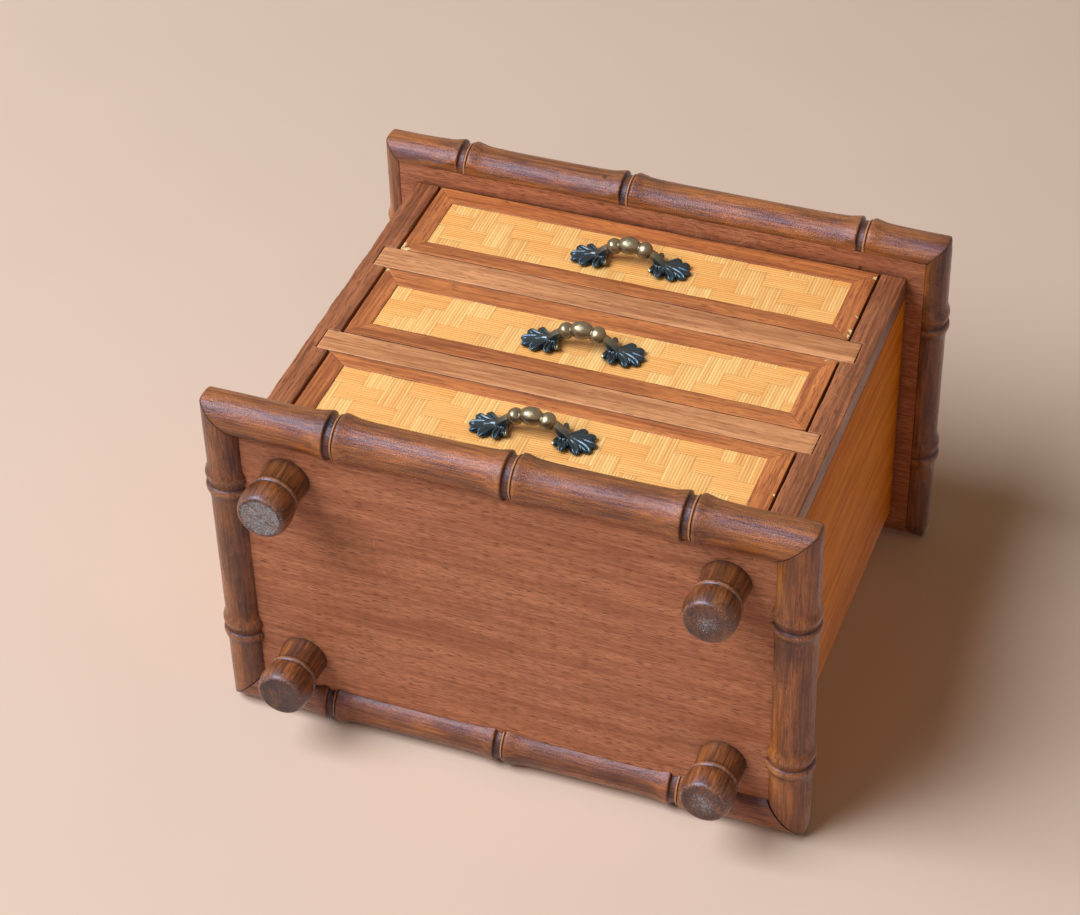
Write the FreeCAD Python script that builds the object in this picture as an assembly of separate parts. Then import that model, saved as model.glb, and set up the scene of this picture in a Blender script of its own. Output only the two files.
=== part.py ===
"""Jewelry chest with three drawers, edged top and bottom with turned faux-bamboo mouldings.

Millimetres. The chest stands on its feet at z = 0, with +Z up, +X to its right and its drawers facing -Y.
The origin is the middle of the footprint. Each piece is a solid of its own in parts/NODE.step.
"""
import FreeCAD, Part
import math
import os

V = FreeCAD.Vector

# Mouldings: turned rods round the edges of the base board and the top board
RING_WIDTH = 249.7          # over the waists of the left and right rods
RING_DEPTH = 160.1          # over the waists of the front and back rods
ROD_WAIST_R = 8.65          # between the nodes and at the mitres
ROD_LIP_R = 10.05           # lips of a cut node, and the ring of a ringed node
ROD_SWELL_R = 9.9           # swelling in front of a ring
ROD_FLARE = 9.0             # length over which a rod widens to a lip
ROD_FLAT = 8.4              # from the axis to the planed flat on the carcass side
BOTTOM_AXIS_Z = 29.0
TOP_AXIS_Z = 215.6
# Where the bead or ring of each node starts, along X on front and back rods, along Y on side rods
NODES_BOTTOM_FRONT = (-67.65, 5.15, 75.75)
NODES_BOTTOM_BACK = (-76.75, -3.0, 71.65)
NODES_BOTTOM_LEFT = (-37.8, 40.2)
NODES_BOTTOM_RIGHT = (-32.7, 40.8)
NODES_TOP_FRONT = (-86.75, -13.45, 89.25)
NODES_TOP_BACK = (-73.2, 0.7, 73.7)
NODES_TOP_LEFT = (-34.2, 37.8)
NODES_TOP_RIGHT = (-37.8, 32.2)

# Boards and carcass
BOARD_THICKNESS = 12.5
CARCASS_WIDTH = 217.6
CARCASS_FRONT_Y = -62.9
CARCASS_BACK_Y = 62.9
PANEL_THICKNESS = 10.8      # side panels, and the stiles that lip them
STILE_DEPTH = 10.0
BACK_PANEL_THICKNESS = 3.2
BACK_REBATE = 5.4           # how far the back panel laps onto each side panel
SHELF_THICKNESS = 5.0
SHELF_HOUSING = 2.5         # depth of the grooves that hold the shelves
RAIL_LAP = 5.4              # how far a rail's end goes into its notch in the stile

# Drawer bays, from the photograph: lower and upper edge of each opening
BOTTOM_BAY = (42.7, 87.4)
MIDDLE_BAY = (100.1, 146.3)
UPPER_BAY = (159.7, 207.2)

# Drawers
DRAWER_WIDTH = 193.8
DRAWER_SHIFT_X = 0.2        # the drawers sit slightly to the right in their bays
DRAWER_BACK_Y = 51.0
GAP_UNDER = 0.3
GAP_OVER = 0.6
SKIN_THICKNESS = 2.4        # frame strips on the front board
INLAY_THICKNESS = 2.0
FRONT_THICKNESS = 7.4
WALL_THICKNESS = 5.5
SIDE_DROP = 1.2             # the drawer's walls stop this far below its front's top edge
BOTTOM_THICKNESS = 3.0
BOTTOM_RISE = 3.0           # underside of the drawer bottom above the walls' lower edge
BOTTOM_GROOVE = 2.5
LINING_THICKNESS = 0.8
FRAME_SIDE_WIDTH = 8.8
# Height of the inlay's lower and upper edge in each drawer
UPPER_INLAY = (168.1, 197.0)
MIDDLE_INLAY = (109.0, 135.9)
BOTTOM_INLAY = (51.1, 80.0)
STOP_SIZE = 8.0

# Feet
FOOT_X = 89.6
FOOT_Y = 47.9
FOOT_END_R = 8.8
FOOT_RIM_R = 10.4
FOOT_BARREL_R = 11.0
FOOT_BEAD_R = 10.4
FOOT_NECK_R = 9.9
FOOT_BEAD_Z = 12.6

# Pulls
PULL_X = -1.0
PULL_TILT = 2.5             # degrees, right end up
UPPER_PULL_Z = 180.6
MIDDLE_PULL_Z = 120.9
BOTTOM_PULL_Z = 64.2
PULL_SCREW_SPACING = 36.0
PULL_SCREW_R = 1.5
BOW_HALF_SPAN = 14.0
BOW_FOOT_HEIGHT = 1.6       # of the bow's line above the drawer's face, at its ends
BOW_CREST_HEIGHT = 9.8
BOW_R = 1.9
MIDDLE_BEAD_R = 3.9
SIDE_BEAD_R = 3.1
SIDE_BEAD_X = 6.8
LEAF_ROOT = (12.5, 0.0)
# Tips of the leaf's lobes at the pull's right end, from the pull's middle: X, Z
LEAF_TIPS = (
    (24.7, -0.8),
    (23.3, 3.1),
    (23.3, -4.5),
    (19.3, 5.6),
    (19.3, -6.6),
    (14.0, 7.5),
    (13.6, -7.6),
)
LEAF_ROOT_R = 1.3
LEAF_TIP_R = 1.8
LEAF_HEIGHT = 1.0           # of the lobes' middle line above the face

# Hidden fasteners
FOOT_DOWEL_R = 3.0
FOOT_DOWEL_LENGTH = 20.0
CARCASS_DOWEL_R = 2.5
CARCASS_DOWEL_IN_BOARD = 9.0
CARCASS_DOWEL_IN_PANEL = 15.0
CARCASS_DOWEL_Y = 38.0
PIN_R = 0.6
PIN_HEAD_R = 1.2
PIN_LENGTH = 9.0
PIN_INSET = 2.0             # from the back panel's edges

# Sizes that follow
AXIS_X = RING_WIDTH / 2 - ROD_WAIST_R
AXIS_Y = RING_DEPTH / 2 - ROD_WAIST_R
BASE_TOP_Z = BOTTOM_AXIS_Z + ROD_FLAT
BASE_UNDER_Z = BASE_TOP_Z - BOARD_THICKNESS
CEILING_Z = TOP_AXIS_Z - ROD_FLAT
TOP_FACE_Z = CEILING_Z + BOARD_THICKNESS
HALF_WIDTH = CARCASS_WIDTH / 2
BAY_HALF = HALF_WIDTH - PANEL_THICKNESS
STILE_BACK_Y = CARCASS_FRONT_Y + STILE_DEPTH
BACK_PANEL_Y = CARCASS_BACK_Y - BACK_PANEL_THICKNESS
BAYS = {"upper": UPPER_BAY, "middle": MIDDLE_BAY, "bottom": BOTTOM_BAY}
INLAYS = {"upper": UPPER_INLAY, "middle": MIDDLE_INLAY, "bottom": BOTTOM_INLAY}
PULLS_Z = {"upper": UPPER_PULL_Z, "middle": MIDDLE_PULL_Z, "bottom": BOTTOM_PULL_Z}
SHELVES = {"upper": UPPER_BAY[0], "lower": MIDDLE_BAY[0], "bottom": BOTTOM_BAY[0]}
REACH = 15.0                # how far cutting shapes run past a rod


def block(x0, x1, y0, y1, z0, z1):
    """A box between two corners."""
    return Part.makeBox(x1 - x0, y1 - y0, z1 - z0, V(x0, y0, z0))


def prism(points, z0, z1):
    """A straight prism on a plan outline given as (x, y) points."""
    corners = [V(x, y, z0) for x, y in points]
    outline = Part.makePolygon(corners + corners[:1])
    return Part.Face(outline).extrude(V(0, 0, z1 - z0))


def save(name, shape):
    """Write one piece, or one group of equal pieces, under its node's name."""
    shape.exportStep(f"parts/{name}.step")
    print(f"{name}: {shape.Volume / 1000:.2f} cm3, {len(shape.Solids)} solid(s), valid {shape.isValid()}")


# Boards and carcass


def boards():
    """The base board and the top board, whose edges sit in the mouldings' rebates."""
    base = block(-AXIS_X, AXIS_X, -AXIS_Y, AXIS_Y, BASE_UNDER_Z, BASE_TOP_Z)
    top = block(-AXIS_X, AXIS_X, -AXIS_Y, AXIS_Y, CEILING_Z, TOP_FACE_Z)
    holes = [foot_dowel(x, y) for x, y in foot_places()]
    holes += [carcass_dowel(x, y, z, up) for x, y, z, up in carcass_dowel_places()]
    return base.cut(Part.makeCompound(holes)), top.cut(Part.makeCompound(holes))


def shelf(top_z):
    """A drawer shelf, housed in grooves in both side panels, its top level with its rail's top."""
    half = BAY_HALF + SHELF_HOUSING
    return block(-half, half, STILE_BACK_Y, BACK_PANEL_Y, top_z - SHELF_THICKNESS, top_z)


def rail(bottom_z, top_z, lap):
    """A front rail between the stiles, let into them by its lap."""
    half = BAY_HALF + lap
    return block(-half, half, CARCASS_FRONT_Y, STILE_BACK_Y, bottom_z, top_z)


def rails():
    """The rails by name."""
    return {
        "rail_upper": rail(MIDDLE_BAY[1], UPPER_BAY[0], RAIL_LAP),
        "rail_lower": rail(BOTTOM_BAY[1], MIDDLE_BAY[0], RAIL_LAP),
        "rail_bottom": rail(BASE_TOP_Z, BOTTOM_BAY[0], 0.0),
    }


def stile(side):
    """The dark lipping on a side panel's front edge, notched for two rails. side is -1 left, 1 right."""
    x0, x1 = sorted((side * BAY_HALF, side * HALF_WIDTH))
    strip = block(x0, x1, CARCASS_FRONT_Y, STILE_BACK_Y, BASE_TOP_Z, CEILING_Z)
    for piece in rails().values():
        strip = strip.cut(piece)
    return strip


def side_panel(side):
    """A side panel with its shelf grooves, its rebate for the back and its dowel holes."""
    x0, x1 = sorted((side * BAY_HALF, side * HALF_WIDTH))
    panel = block(x0, x1, STILE_BACK_Y, CARCASS_BACK_Y, BASE_TOP_Z, CEILING_Z)
    panel = panel.cut(back_panel_blank())
    for top_z in SHELVES.values():
        panel = panel.cut(shelf(top_z))
    for x, y, z, up in carcass_dowel_places():
        panel = panel.cut(carcass_dowel(x, y, z, up))
    for x, z in pin_places():
        panel = panel.cut(pin(x, z))
    return panel


def back_panel_blank():
    """The back panel before it is pinned."""
    half = BAY_HALF + BACK_REBATE
    return block(-half, half, BACK_PANEL_Y, CARCASS_BACK_Y, BASE_TOP_Z, CEILING_Z)


def back_panel():
    """The thin back panel with the holes that its pins make."""
    panel = back_panel_blank()
    for x, z in pin_places():
        panel = panel.cut(pin(x, z))
    return panel


def drawer_stops():
    """Two small blocks behind each drawer, which stop it level with the carcass's front."""
    blocks = []
    for low, _high in BAYS.values():
        for side in (-1, 1):
            x = side * (BAY_HALF - 2 * STOP_SIZE)
            blocks.append(block(x - STOP_SIZE / 2, x + STOP_SIZE / 2, DRAWER_BACK_Y + GAP_UNDER,
                                BACK_PANEL_Y, low, low + STOP_SIZE))
    return Part.makeCompound(blocks)


# Fasteners


def foot_places():
    """Middle of each foot in plan."""
    return [(x, y) for y in (-FOOT_Y, FOOT_Y) for x in (-FOOT_X, FOOT_X)]


def foot_dowel(x, y):
    """A dowel half in a foot and half in the base board."""
    start = V(x, y, BASE_UNDER_Z - FOOT_DOWEL_LENGTH / 2)
    return Part.makeCylinder(FOOT_DOWEL_R, FOOT_DOWEL_LENGTH, start)


def carcass_dowel_places():
    """Where the side panels are dowelled: x, y, the joint's height and the way into the panel."""
    x = HALF_WIDTH - PANEL_THICKNESS / 2
    places = []
    for z, up in ((BASE_TOP_Z, 1), (CEILING_Z, -1)):
        places += [(s * x, t * CARCASS_DOWEL_Y, z, up) for s in (-1, 1) for t in (-1, 1)]
    return places


def carcass_dowel(x, y, z, up):
    """A dowel across the joint between a board and a side panel."""
    start = z - CARCASS_DOWEL_IN_BOARD if up > 0 else z - CARCASS_DOWEL_IN_PANEL
    return Part.makeCylinder(CARCASS_DOWEL_R, CARCASS_DOWEL_IN_BOARD + CARCASS_DOWEL_IN_PANEL, V(x, y, start))


def pin_places():
    """Where pins hold the back panel to the side panels' rebates: x and z."""
    x = BAY_HALF + BACK_REBATE - PIN_INSET
    step = (CEILING_Z - BASE_TOP_Z) / 5
    return [(s * x, BASE_TOP_Z + (i + 0.5) * step) for s in (-1, 1) for i in range(5)]


def pin(x, z):
    """A panel pin driven forwards from the back, its head flush."""
    shank = Part.makeCylinder(PIN_R, PIN_LENGTH, V(x, CARCASS_BACK_Y, z), V(0, -1, 0))
    head = Part.makeCylinder(PIN_HEAD_R, PIN_R, V(x, CARCASS_BACK_Y, z), V(0, -1, 0))
    return shank.fuse(head).removeSplitter()


# Turned mouldings


def rod_outline(nodes, end, ringed):
    """Radius of a turned rod along its axis, as edges from -end to end in the XY plane.

    A cut node is a lip, a wide groove, a thin bead, a fine groove and a second lip.
    A ringed node is a long swelling, a groove and a rounded ring.
    """
    edges = []
    start = V(-end, ROD_WAIST_R, 0)

    def line_to(x, r):
        nonlocal start
        point = V(x, r, 0)
        edges.append(Part.LineSegment(start, point).toShape())
        start = point

    def arc_to(middle, x, r):
        nonlocal start
        point = V(x, r, 0)
        edges.append(Part.Arc(start, middle, point).toShape())
        start = point

    def cut_node(n):
        groove_r, bead_r, fine_r = ROD_WAIST_R - 0.15, ROD_WAIST_R + 0.65, ROD_WAIST_R + 0.3
        lip_in, lip_out = n - 3.6, n + 2.1
        flare_r = ROD_WAIST_R + 0.3 * (ROD_LIP_R - ROD_WAIST_R)
        line_to(lip_in - ROD_FLARE, ROD_WAIST_R)
        arc_to(V(lip_in - ROD_FLARE * 0.45, flare_r, 0), lip_in, ROD_LIP_R)
        line_to(n - 3.0, ROD_LIP_R - 0.5)
        line_to(n - 2.7, groove_r)
        line_to(n - 0.3, groove_r)
        line_to(n, bead_r)
        line_to(n + 0.75, bead_r)
        line_to(n + 1.0, fine_r)
        arc_to(V(n + 1.3, ROD_LIP_R - 0.3, 0), lip_out, ROD_LIP_R)
        arc_to(V(lip_out + ROD_FLARE * 0.45, flare_r, 0), lip_out + ROD_FLARE, ROD_WAIST_R)

    def ringed_node(n):
        line_to(n - 10.0, ROD_WAIST_R)
        arc_to(V(n - 7.4, ROD_WAIST_R + 0.5, 0), n - 4.6, ROD_SWELL_R)
        arc_to(V(n - 3.4, ROD_SWELL_R - 0.12, 0), n - 2.6, ROD_SWELL_R - 0.4)
        line_to(n - 0.4, ROD_WAIST_R + 0.3)
        line_to(n, ROD_LIP_R - 0.6)
        arc_to(V(n + 1.8, ROD_LIP_R, 0), n + 3.8, ROD_LIP_R - 0.65)
        arc_to(V(n + 5.6, ROD_WAIST_R + 0.3, 0), n + 8.5, ROD_WAIST_R)

    for n in nodes:
        if ringed:
            ringed_node(n)
        else:
            cut_node(n)
    line_to(end, ROD_WAIST_R)
    return edges


def turned_rod(nodes, end, ringed):
    """A rod turned about the X axis, with its nodes."""
    edges = rod_outline(nodes, end, ringed)
    a, b = V(-end, 0, 0), V(end, 0, 0)
    edges.append(Part.LineSegment(V(end, ROD_WAIST_R, 0), b).toShape())
    edges.append(Part.LineSegment(b, a).toShape())
    edges.append(Part.LineSegment(a, V(-end, ROD_WAIST_R, 0)).toShape())
    return Part.Face(Part.Wire(edges)).revolve(V(0, 0, 0), V(1, 0, 0), 360)


def moulding(nodes, place, axis_z, up):
    """One mitred length of moulding, planed flat on the carcass side and rebated over its board.

    place is front, back, left or right. up is 1 where the carcass is above the rod and -1 where it is below.
    """
    along_x = place in ("front", "back")
    half, across = (AXIS_X, AXIS_Y) if along_x else (AXIS_Y, AXIS_X)
    out = -1 if place in ("front", "right") else 1  # the way out of the chest, before a side rod is turned
    end = half + REACH
    rod = turned_rod(nodes, end, ringed=not along_x)
    if out > 0:
        rod.rotate(V(0, 0, 0), V(1, 0, 0), 180)  # keeps the turning's seam on the board's side
    low, high = sorted((-up * REACH, up * ROD_FLAT))
    rod = rod.common(block(-end, end, -REACH, REACH, low, high))
    inner_low, inner_high = sorted((0, -out * REACH))
    low, high = sorted((up * (ROD_FLAT - BOARD_THICKNESS), up * REACH))
    rod = rod.cut(block(-end - 1, end + 1, inner_low, inner_high, low, high))
    inner = half - REACH
    corners = [(-end, out * REACH), (end, out * REACH), (inner, -out * REACH), (-inner, -out * REACH)]
    rod = rod.common(prism(corners, -2 * REACH, 2 * REACH))
    if not along_x:
        rod.rotate(V(0, 0, 0), V(0, 0, 1), 90)
    places = {"front": V(0, -across, axis_z), "back": V(0, across, axis_z),
              "left": V(-across, 0, axis_z), "right": V(across, 0, axis_z)}
    rod.translate(places[place])
    return rod


def mouldings():
    """All eight lengths by name."""
    bottom_nodes = (NODES_BOTTOM_FRONT, NODES_BOTTOM_BACK, NODES_BOTTOM_LEFT, NODES_BOTTOM_RIGHT)
    top_nodes = (NODES_TOP_FRONT, NODES_TOP_BACK, NODES_TOP_LEFT, NODES_TOP_RIGHT)
    lengths = {}
    for place, low, high in zip(("front", "back", "left", "right"), bottom_nodes, top_nodes):
        lengths[f"moulding_bottom_{place}"] = moulding(low, place, BOTTOM_AXIS_Z, 1)
        lengths[f"moulding_top_{place}"] = moulding(high, place, TOP_AXIS_Z, -1)
    return lengths


# Feet


def foot(x, y):
    """A turned foot: a barrel end, a bead between two grooves and a plain neck, bored for its dowel."""
    z = FOOT_BEAD_Z
    start = V(FOOT_END_R, 0, 0)
    rim = V(FOOT_RIM_R, 0, 2.0)
    barrel_end = V(FOOT_BARREL_R - 0.8, 0, z - 1.7)
    fine = V(FOOT_BEAD_R - 0.6, 0, z - 1.25)
    bead_low = V(FOOT_BEAD_R - 0.35, 0, z - 0.75)
    bead_high = V(FOOT_BEAD_R - 0.35, 0, z + 0.75)
    cove = V(FOOT_NECK_R - 0.4, 0, z + 1.5)
    neck = V(FOOT_NECK_R - 0.4, 0, z + 3.4)
    top = V(FOOT_NECK_R, 0, BASE_UNDER_Z)
    edges = [
        Part.LineSegment(V(0, 0, 0), start).toShape(),
        Part.Arc(start, V(FOOT_END_R + 1.1, 0, 0.85), rim).toShape(),
        Part.Arc(rim, V(FOOT_BARREL_R, 0, z / 2), barrel_end).toShape(),
        Part.LineSegment(barrel_end, fine).toShape(),
        Part.LineSegment(fine, bead_low).toShape(),
        Part.Arc(bead_low, V(FOOT_BEAD_R, 0, z), bead_high).toShape(),
        Part.LineSegment(bead_high, cove).toShape(),
        Part.LineSegment(cove, neck).toShape(),
        Part.LineSegment(neck, top).toShape(),
        Part.LineSegment(top, V(0, 0, BASE_UNDER_Z)).toShape(),
        Part.LineSegment(V(0, 0, BASE_UNDER_Z), V(0, 0, 0)).toShape(),
    ]
    body = Part.Face(Part.Wire(edges)).revolve(V(0, 0, 0), V(0, 0, 1), 360)
    body.translate(V(x, y, 0))
    return body.cut(foot_dowel(x, y))


# Drawers


def drawer_frame(x0, x1, z0, z1, inlay):
    """Four mitred strips round the inlay: bottom, top, left and right."""
    y0, y1 = CARCASS_FRONT_Y, CARCASS_FRONT_Y + SKIN_THICKNESS
    in_x0, in_x1 = x0 + FRAME_SIDE_WIDTH, x1 - FRAME_SIDE_WIDTH
    in_z0, in_z1 = inlay
    strips = []
    for corners in (
        ((x0, z0), (x1, z0), (in_x1, in_z0), (in_x0, in_z0)),
        ((x0, z1), (in_x0, in_z1), (in_x1, in_z1), (x1, z1)),
        ((x0, z0), (in_x0, in_z0), (in_x0, in_z1), (x0, z1)),
        ((x1, z0), (x1, z1), (in_x1, in_z1), (in_x1, in_z0)),
    ):
        points = [V(x, y0, z) for x, z in corners]
        face = Part.Face(Part.makePolygon(points + points[:1]))
        strips.append(face.extrude(V(0, y1 - y0, 0)))
    return Part.makeCompound(strips)


def drawer(name):
    """Every piece of one drawer by node name."""
    low, high = BAYS[name]
    z0, z1 = low + GAP_UNDER, high - GAP_OVER
    x0, x1 = DRAWER_SHIFT_X - DRAWER_WIDTH / 2, DRAWER_SHIFT_X + DRAWER_WIDTH / 2
    skin_y = CARCASS_FRONT_Y + SKIN_THICKNESS
    box_y = skin_y + FRONT_THICKNESS
    wall_top = z1 - SIDE_DROP
    back_y = DRAWER_BACK_Y - WALL_THICKNESS
    inner_x0, inner_x1 = x0 + WALL_THICKNESS, x1 - WALL_THICKNESS
    floor_z = z0 + BOTTOM_RISE
    floor_top = floor_z + BOTTOM_THICKNESS
    in_z0, in_z1 = INLAYS[name]
    bottom = block(inner_x0 - BOTTOM_GROOVE, inner_x1 + BOTTOM_GROOVE, box_y - BOTTOM_GROOVE,
                   back_y + BOTTOM_GROOVE, floor_z, floor_top)
    screws = pull_screws(PULLS_Z[name])
    inlay_y = skin_y - INLAY_THICKNESS
    inlay = block(x0 + FRAME_SIDE_WIDTH, x1 - FRAME_SIDE_WIDTH, inlay_y, skin_y, in_z0, in_z1)
    return {
        f"drawer_{name}_front": block(x0, x1, skin_y, box_y, z0, z1).cut(bottom).cut(screws),
        f"drawer_{name}_frame": drawer_frame(x0, x1, z0, z1, (in_z0, in_z1)),
        f"drawer_{name}_inlay": inlay.cut(screws),
        f"drawer_{name}_side_left": block(x0, inner_x0, box_y, DRAWER_BACK_Y, z0, wall_top).cut(bottom),
        f"drawer_{name}_side_right": block(inner_x1, x1, box_y, DRAWER_BACK_Y, z0, wall_top).cut(bottom),
        f"drawer_{name}_back": block(inner_x0, inner_x1, back_y, DRAWER_BACK_Y, z0, wall_top).cut(bottom),
        f"drawer_{name}_bottom": bottom,
        f"drawer_{name}_lining": block(inner_x0, inner_x1, box_y, back_y, floor_top,
                                       floor_top + LINING_THICKNESS),
        f"drawer_{name}_pull": pull(PULLS_Z[name], inlay_y).cut(screws),
        f"drawer_{name}_pull_screws": screws,
    }


# Pulls


def turn_pull(shape, z):
    """Tilt a shape with its pull, about the pull's middle."""
    shape.rotate(V(PULL_X, 0, z), V(0, -1, 0), PULL_TILT)
    return shape


def pull_screws(z):
    """Two screws from inside the drawer into the pull's leaf ends."""
    box_y = CARCASS_FRONT_Y + SKIN_THICKNESS + FRONT_THICKNESS
    head_height, head_r = 1.4, 2.8
    tip_y = CARCASS_FRONT_Y - 0.6
    screws = []
    for side in (-1, 1):
        x = PULL_X + side * PULL_SCREW_SPACING / 2
        shank = Part.makeCylinder(PULL_SCREW_R, box_y - tip_y, V(x, tip_y, z), V(0, 1, 0))
        head = Part.makeCone(head_r, head_r - 0.9, head_height, V(x, box_y, z), V(0, 1, 0))
        screws.append(shank.fuse(head).removeSplitter())
    return turn_pull(Part.makeCompound(screws), z)


def leaf_lobe(root, tip):
    """One lobe of a leaf: a tapered finger with a round end."""
    reach = tip - root
    finger = Part.makeCone(LEAF_ROOT_R, LEAF_TIP_R, reach.Length, root, reach)
    return finger.fuse(Part.makeSphere(LEAF_TIP_R, tip))


def bead(r, x, bow_radius, centre_y):
    """A bead strung on the bow at x, its poles on the bow's line."""
    y = centre_y - math.sqrt(bow_radius**2 - x**2)
    shape = Part.makeSphere(r)
    shape.rotate(V(0, 0, 0), V(0, 1, 0), 90)
    shape.rotate(V(0, 0, 0), V(0, 0, 1), math.degrees(math.atan2(x, centre_y - y)))
    shape.translate(V(x, y, 0))
    return shape


def bow():
    """The bow, a stretch of a ring from leaf to leaf, with its three beads."""
    rise = BOW_CREST_HEIGHT - BOW_FOOT_HEIGHT
    radius = (BOW_HALF_SPAN**2 + rise**2) / (2 * rise)
    centre_y = radius - BOW_CREST_HEIGHT
    half_angle = math.degrees(math.asin(BOW_HALF_SPAN / radius))
    section = Part.Wire([Part.makeCircle(BOW_R, V(0, -BOW_CREST_HEIGHT, 0), V(1, 0, 0))])
    shape = Part.Face(section).revolve(V(0, centre_y, 0), V(0, 0, 1), 2 * half_angle)
    shape.rotate(V(0, centre_y, 0), V(0, 0, 1), -half_angle)
    for r, x in ((MIDDLE_BEAD_R, 0), (SIDE_BEAD_R, -SIDE_BEAD_X), (SIDE_BEAD_R, SIDE_BEAD_X)):
        shape = shape.fuse(bead(r, x, radius, centre_y))
    return shape


def pull(z, face_y):
    """A cast bow pull: leaf ends that lie on the drawer's face, and a beaded bow between them."""
    shape = bow()
    for side in (-1, 1):
        root = V(side * LEAF_ROOT[0], -LEAF_HEIGHT, LEAF_ROOT[1])
        for tip_x, tip_z in LEAF_TIPS:
            shape = shape.fuse(leaf_lobe(root, V(side * tip_x, -LEAF_HEIGHT, tip_z)))
        boss = V(side * PULL_SCREW_SPACING / 2, -LEAF_HEIGHT, 0)
        shape = shape.fuse(Part.makeSphere(LEAF_TIP_R + 0.9, boss))
    shape = shape.cut(block(-60, 60, 0, 60, -60, 60))
    shape.translate(V(PULL_X, face_y, z))
    return turn_pull(shape, z)


def main():
    """Build and write every piece."""
    os.makedirs("parts", exist_ok=True)
    base, top = boards()
    pieces = {"base_board": base, "top_board": top, "back_panel": back_panel()}
    for name, side in (("left", -1), ("right", 1)):
        pieces[f"side_panel_{name}"] = side_panel(side)
        pieces[f"stile_{name}"] = stile(side)
    pieces.update(rails())
    for name, top_z in SHELVES.items():
        pieces[f"shelf_{name}"] = shelf(top_z)
    pieces["drawer_stops"] = drawer_stops()
    pieces.update(mouldings())
    for (x, y), name in zip(foot_places(), ("front_left", "front_right", "back_left", "back_right")):
        pieces[f"foot_{name}"] = foot(x, y)
    pieces["foot_dowels"] = Part.makeCompound([foot_dowel(x, y) for x, y in foot_places()])
    dowels = [carcass_dowel(x, y, z, up) for x, y, z, up in carcass_dowel_places()]
    pieces["carcass_dowels"] = Part.makeCompound(dowels)
    pieces["back_panel_pins"] = Part.makeCompound([pin(x, z) for x, z in pin_places()])
    for name in BAYS:
        pieces.update(drawer(name))
    for name, shape in pieces.items():
        save(name, shape)
    print(f"{len(pieces)} nodes")


main()
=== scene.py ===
"""Looks of a small jewelry chest: woven drawer fronts, faux-bamboo mouldings, turned feet and cast pulls.

Sizes inside the classes are in millimetres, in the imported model's frame: Z up, X to the chest's right and the
drawers' fronts towards -Y. Meshes are written in metres. The photograph shows the chest lying on its back.
"""

import logging
import math
import random
from collections.abc import Callable, Sequence
from dataclasses import dataclass, field
from enum import Enum
from functools import cache

import bmesh
import bpy
import numpy as np
from mathutils import Matrix, Vector, noise


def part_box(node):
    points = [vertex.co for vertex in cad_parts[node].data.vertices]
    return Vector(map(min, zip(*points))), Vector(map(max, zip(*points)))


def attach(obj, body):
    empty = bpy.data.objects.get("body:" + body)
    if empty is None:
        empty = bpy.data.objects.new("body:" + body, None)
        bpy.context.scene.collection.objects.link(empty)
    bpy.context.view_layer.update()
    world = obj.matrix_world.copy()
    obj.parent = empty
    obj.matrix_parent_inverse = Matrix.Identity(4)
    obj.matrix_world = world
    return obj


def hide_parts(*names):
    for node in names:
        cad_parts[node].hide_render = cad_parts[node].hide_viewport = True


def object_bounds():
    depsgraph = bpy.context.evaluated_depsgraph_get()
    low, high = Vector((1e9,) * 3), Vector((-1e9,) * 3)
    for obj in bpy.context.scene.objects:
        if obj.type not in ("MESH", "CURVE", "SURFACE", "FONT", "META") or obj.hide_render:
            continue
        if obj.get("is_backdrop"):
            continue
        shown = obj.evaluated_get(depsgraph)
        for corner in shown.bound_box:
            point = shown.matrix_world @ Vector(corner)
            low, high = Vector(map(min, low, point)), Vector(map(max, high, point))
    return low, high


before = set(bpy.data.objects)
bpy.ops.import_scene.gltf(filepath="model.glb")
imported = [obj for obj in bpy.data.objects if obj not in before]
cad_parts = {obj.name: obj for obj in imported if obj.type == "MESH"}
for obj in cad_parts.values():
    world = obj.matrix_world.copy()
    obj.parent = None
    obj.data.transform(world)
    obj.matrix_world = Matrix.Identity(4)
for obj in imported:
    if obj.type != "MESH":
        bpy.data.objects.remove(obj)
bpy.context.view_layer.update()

MM = 0.001
CARCASS = "carcass"
log = logging.getLogger("chest")

Rgb = tuple[float, float, float]
Socket = bpy.types.NodeSocket
Link = Socket | float | tuple[float, ...]


def srgb(red: float, green: float, blue: float) -> tuple[float, float, float, float]:
    """A colour as seen on a screen, 0 to 255, as linear light.

    Args:
        red: Red, 0 to 255.
        green: Green, 0 to 255.
        blue: Blue, 0 to 255.

    Returns:
        The colour's four linear components, the last one 1.
    """
    def linear(value: float) -> float:
        """One component as linear light."""
        share = value / 255
        return share / 12.92 if share <= 0.04045 else ((share + 0.055) / 1.055) ** 2.4

    return linear(red), linear(green), linear(blue), 1.0


def drawer(level: str, part: str = "") -> str:
    """Name of a drawer's body, or of a part of it."""
    return f"drawer_{level}_{part}" if part else f"drawer_{level}"


def shaded(colour: Rgb, share: float) -> tuple[float, float, float, float]:
    """A screen colour as linear light, made darker or lighter by a share."""
    red, green, blue, _alpha = srgb(*colour)
    return red * share, green * share, blue * share, 1.0


def node_box(node: str) -> tuple[Vector, Vector]:
    """Lowest and highest corner of a CAD node, in millimetres."""
    low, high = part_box(node)
    return low / MM, high / MM


class GrainRun(Enum):
    """Which way a finish's grain runs: as laid on the piece, or along one axis of the model."""

    LAID = "laid"
    X = "x"
    Y = "y"
    Z = "z"


# Shader graphs and the effects that several finishes share


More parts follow.
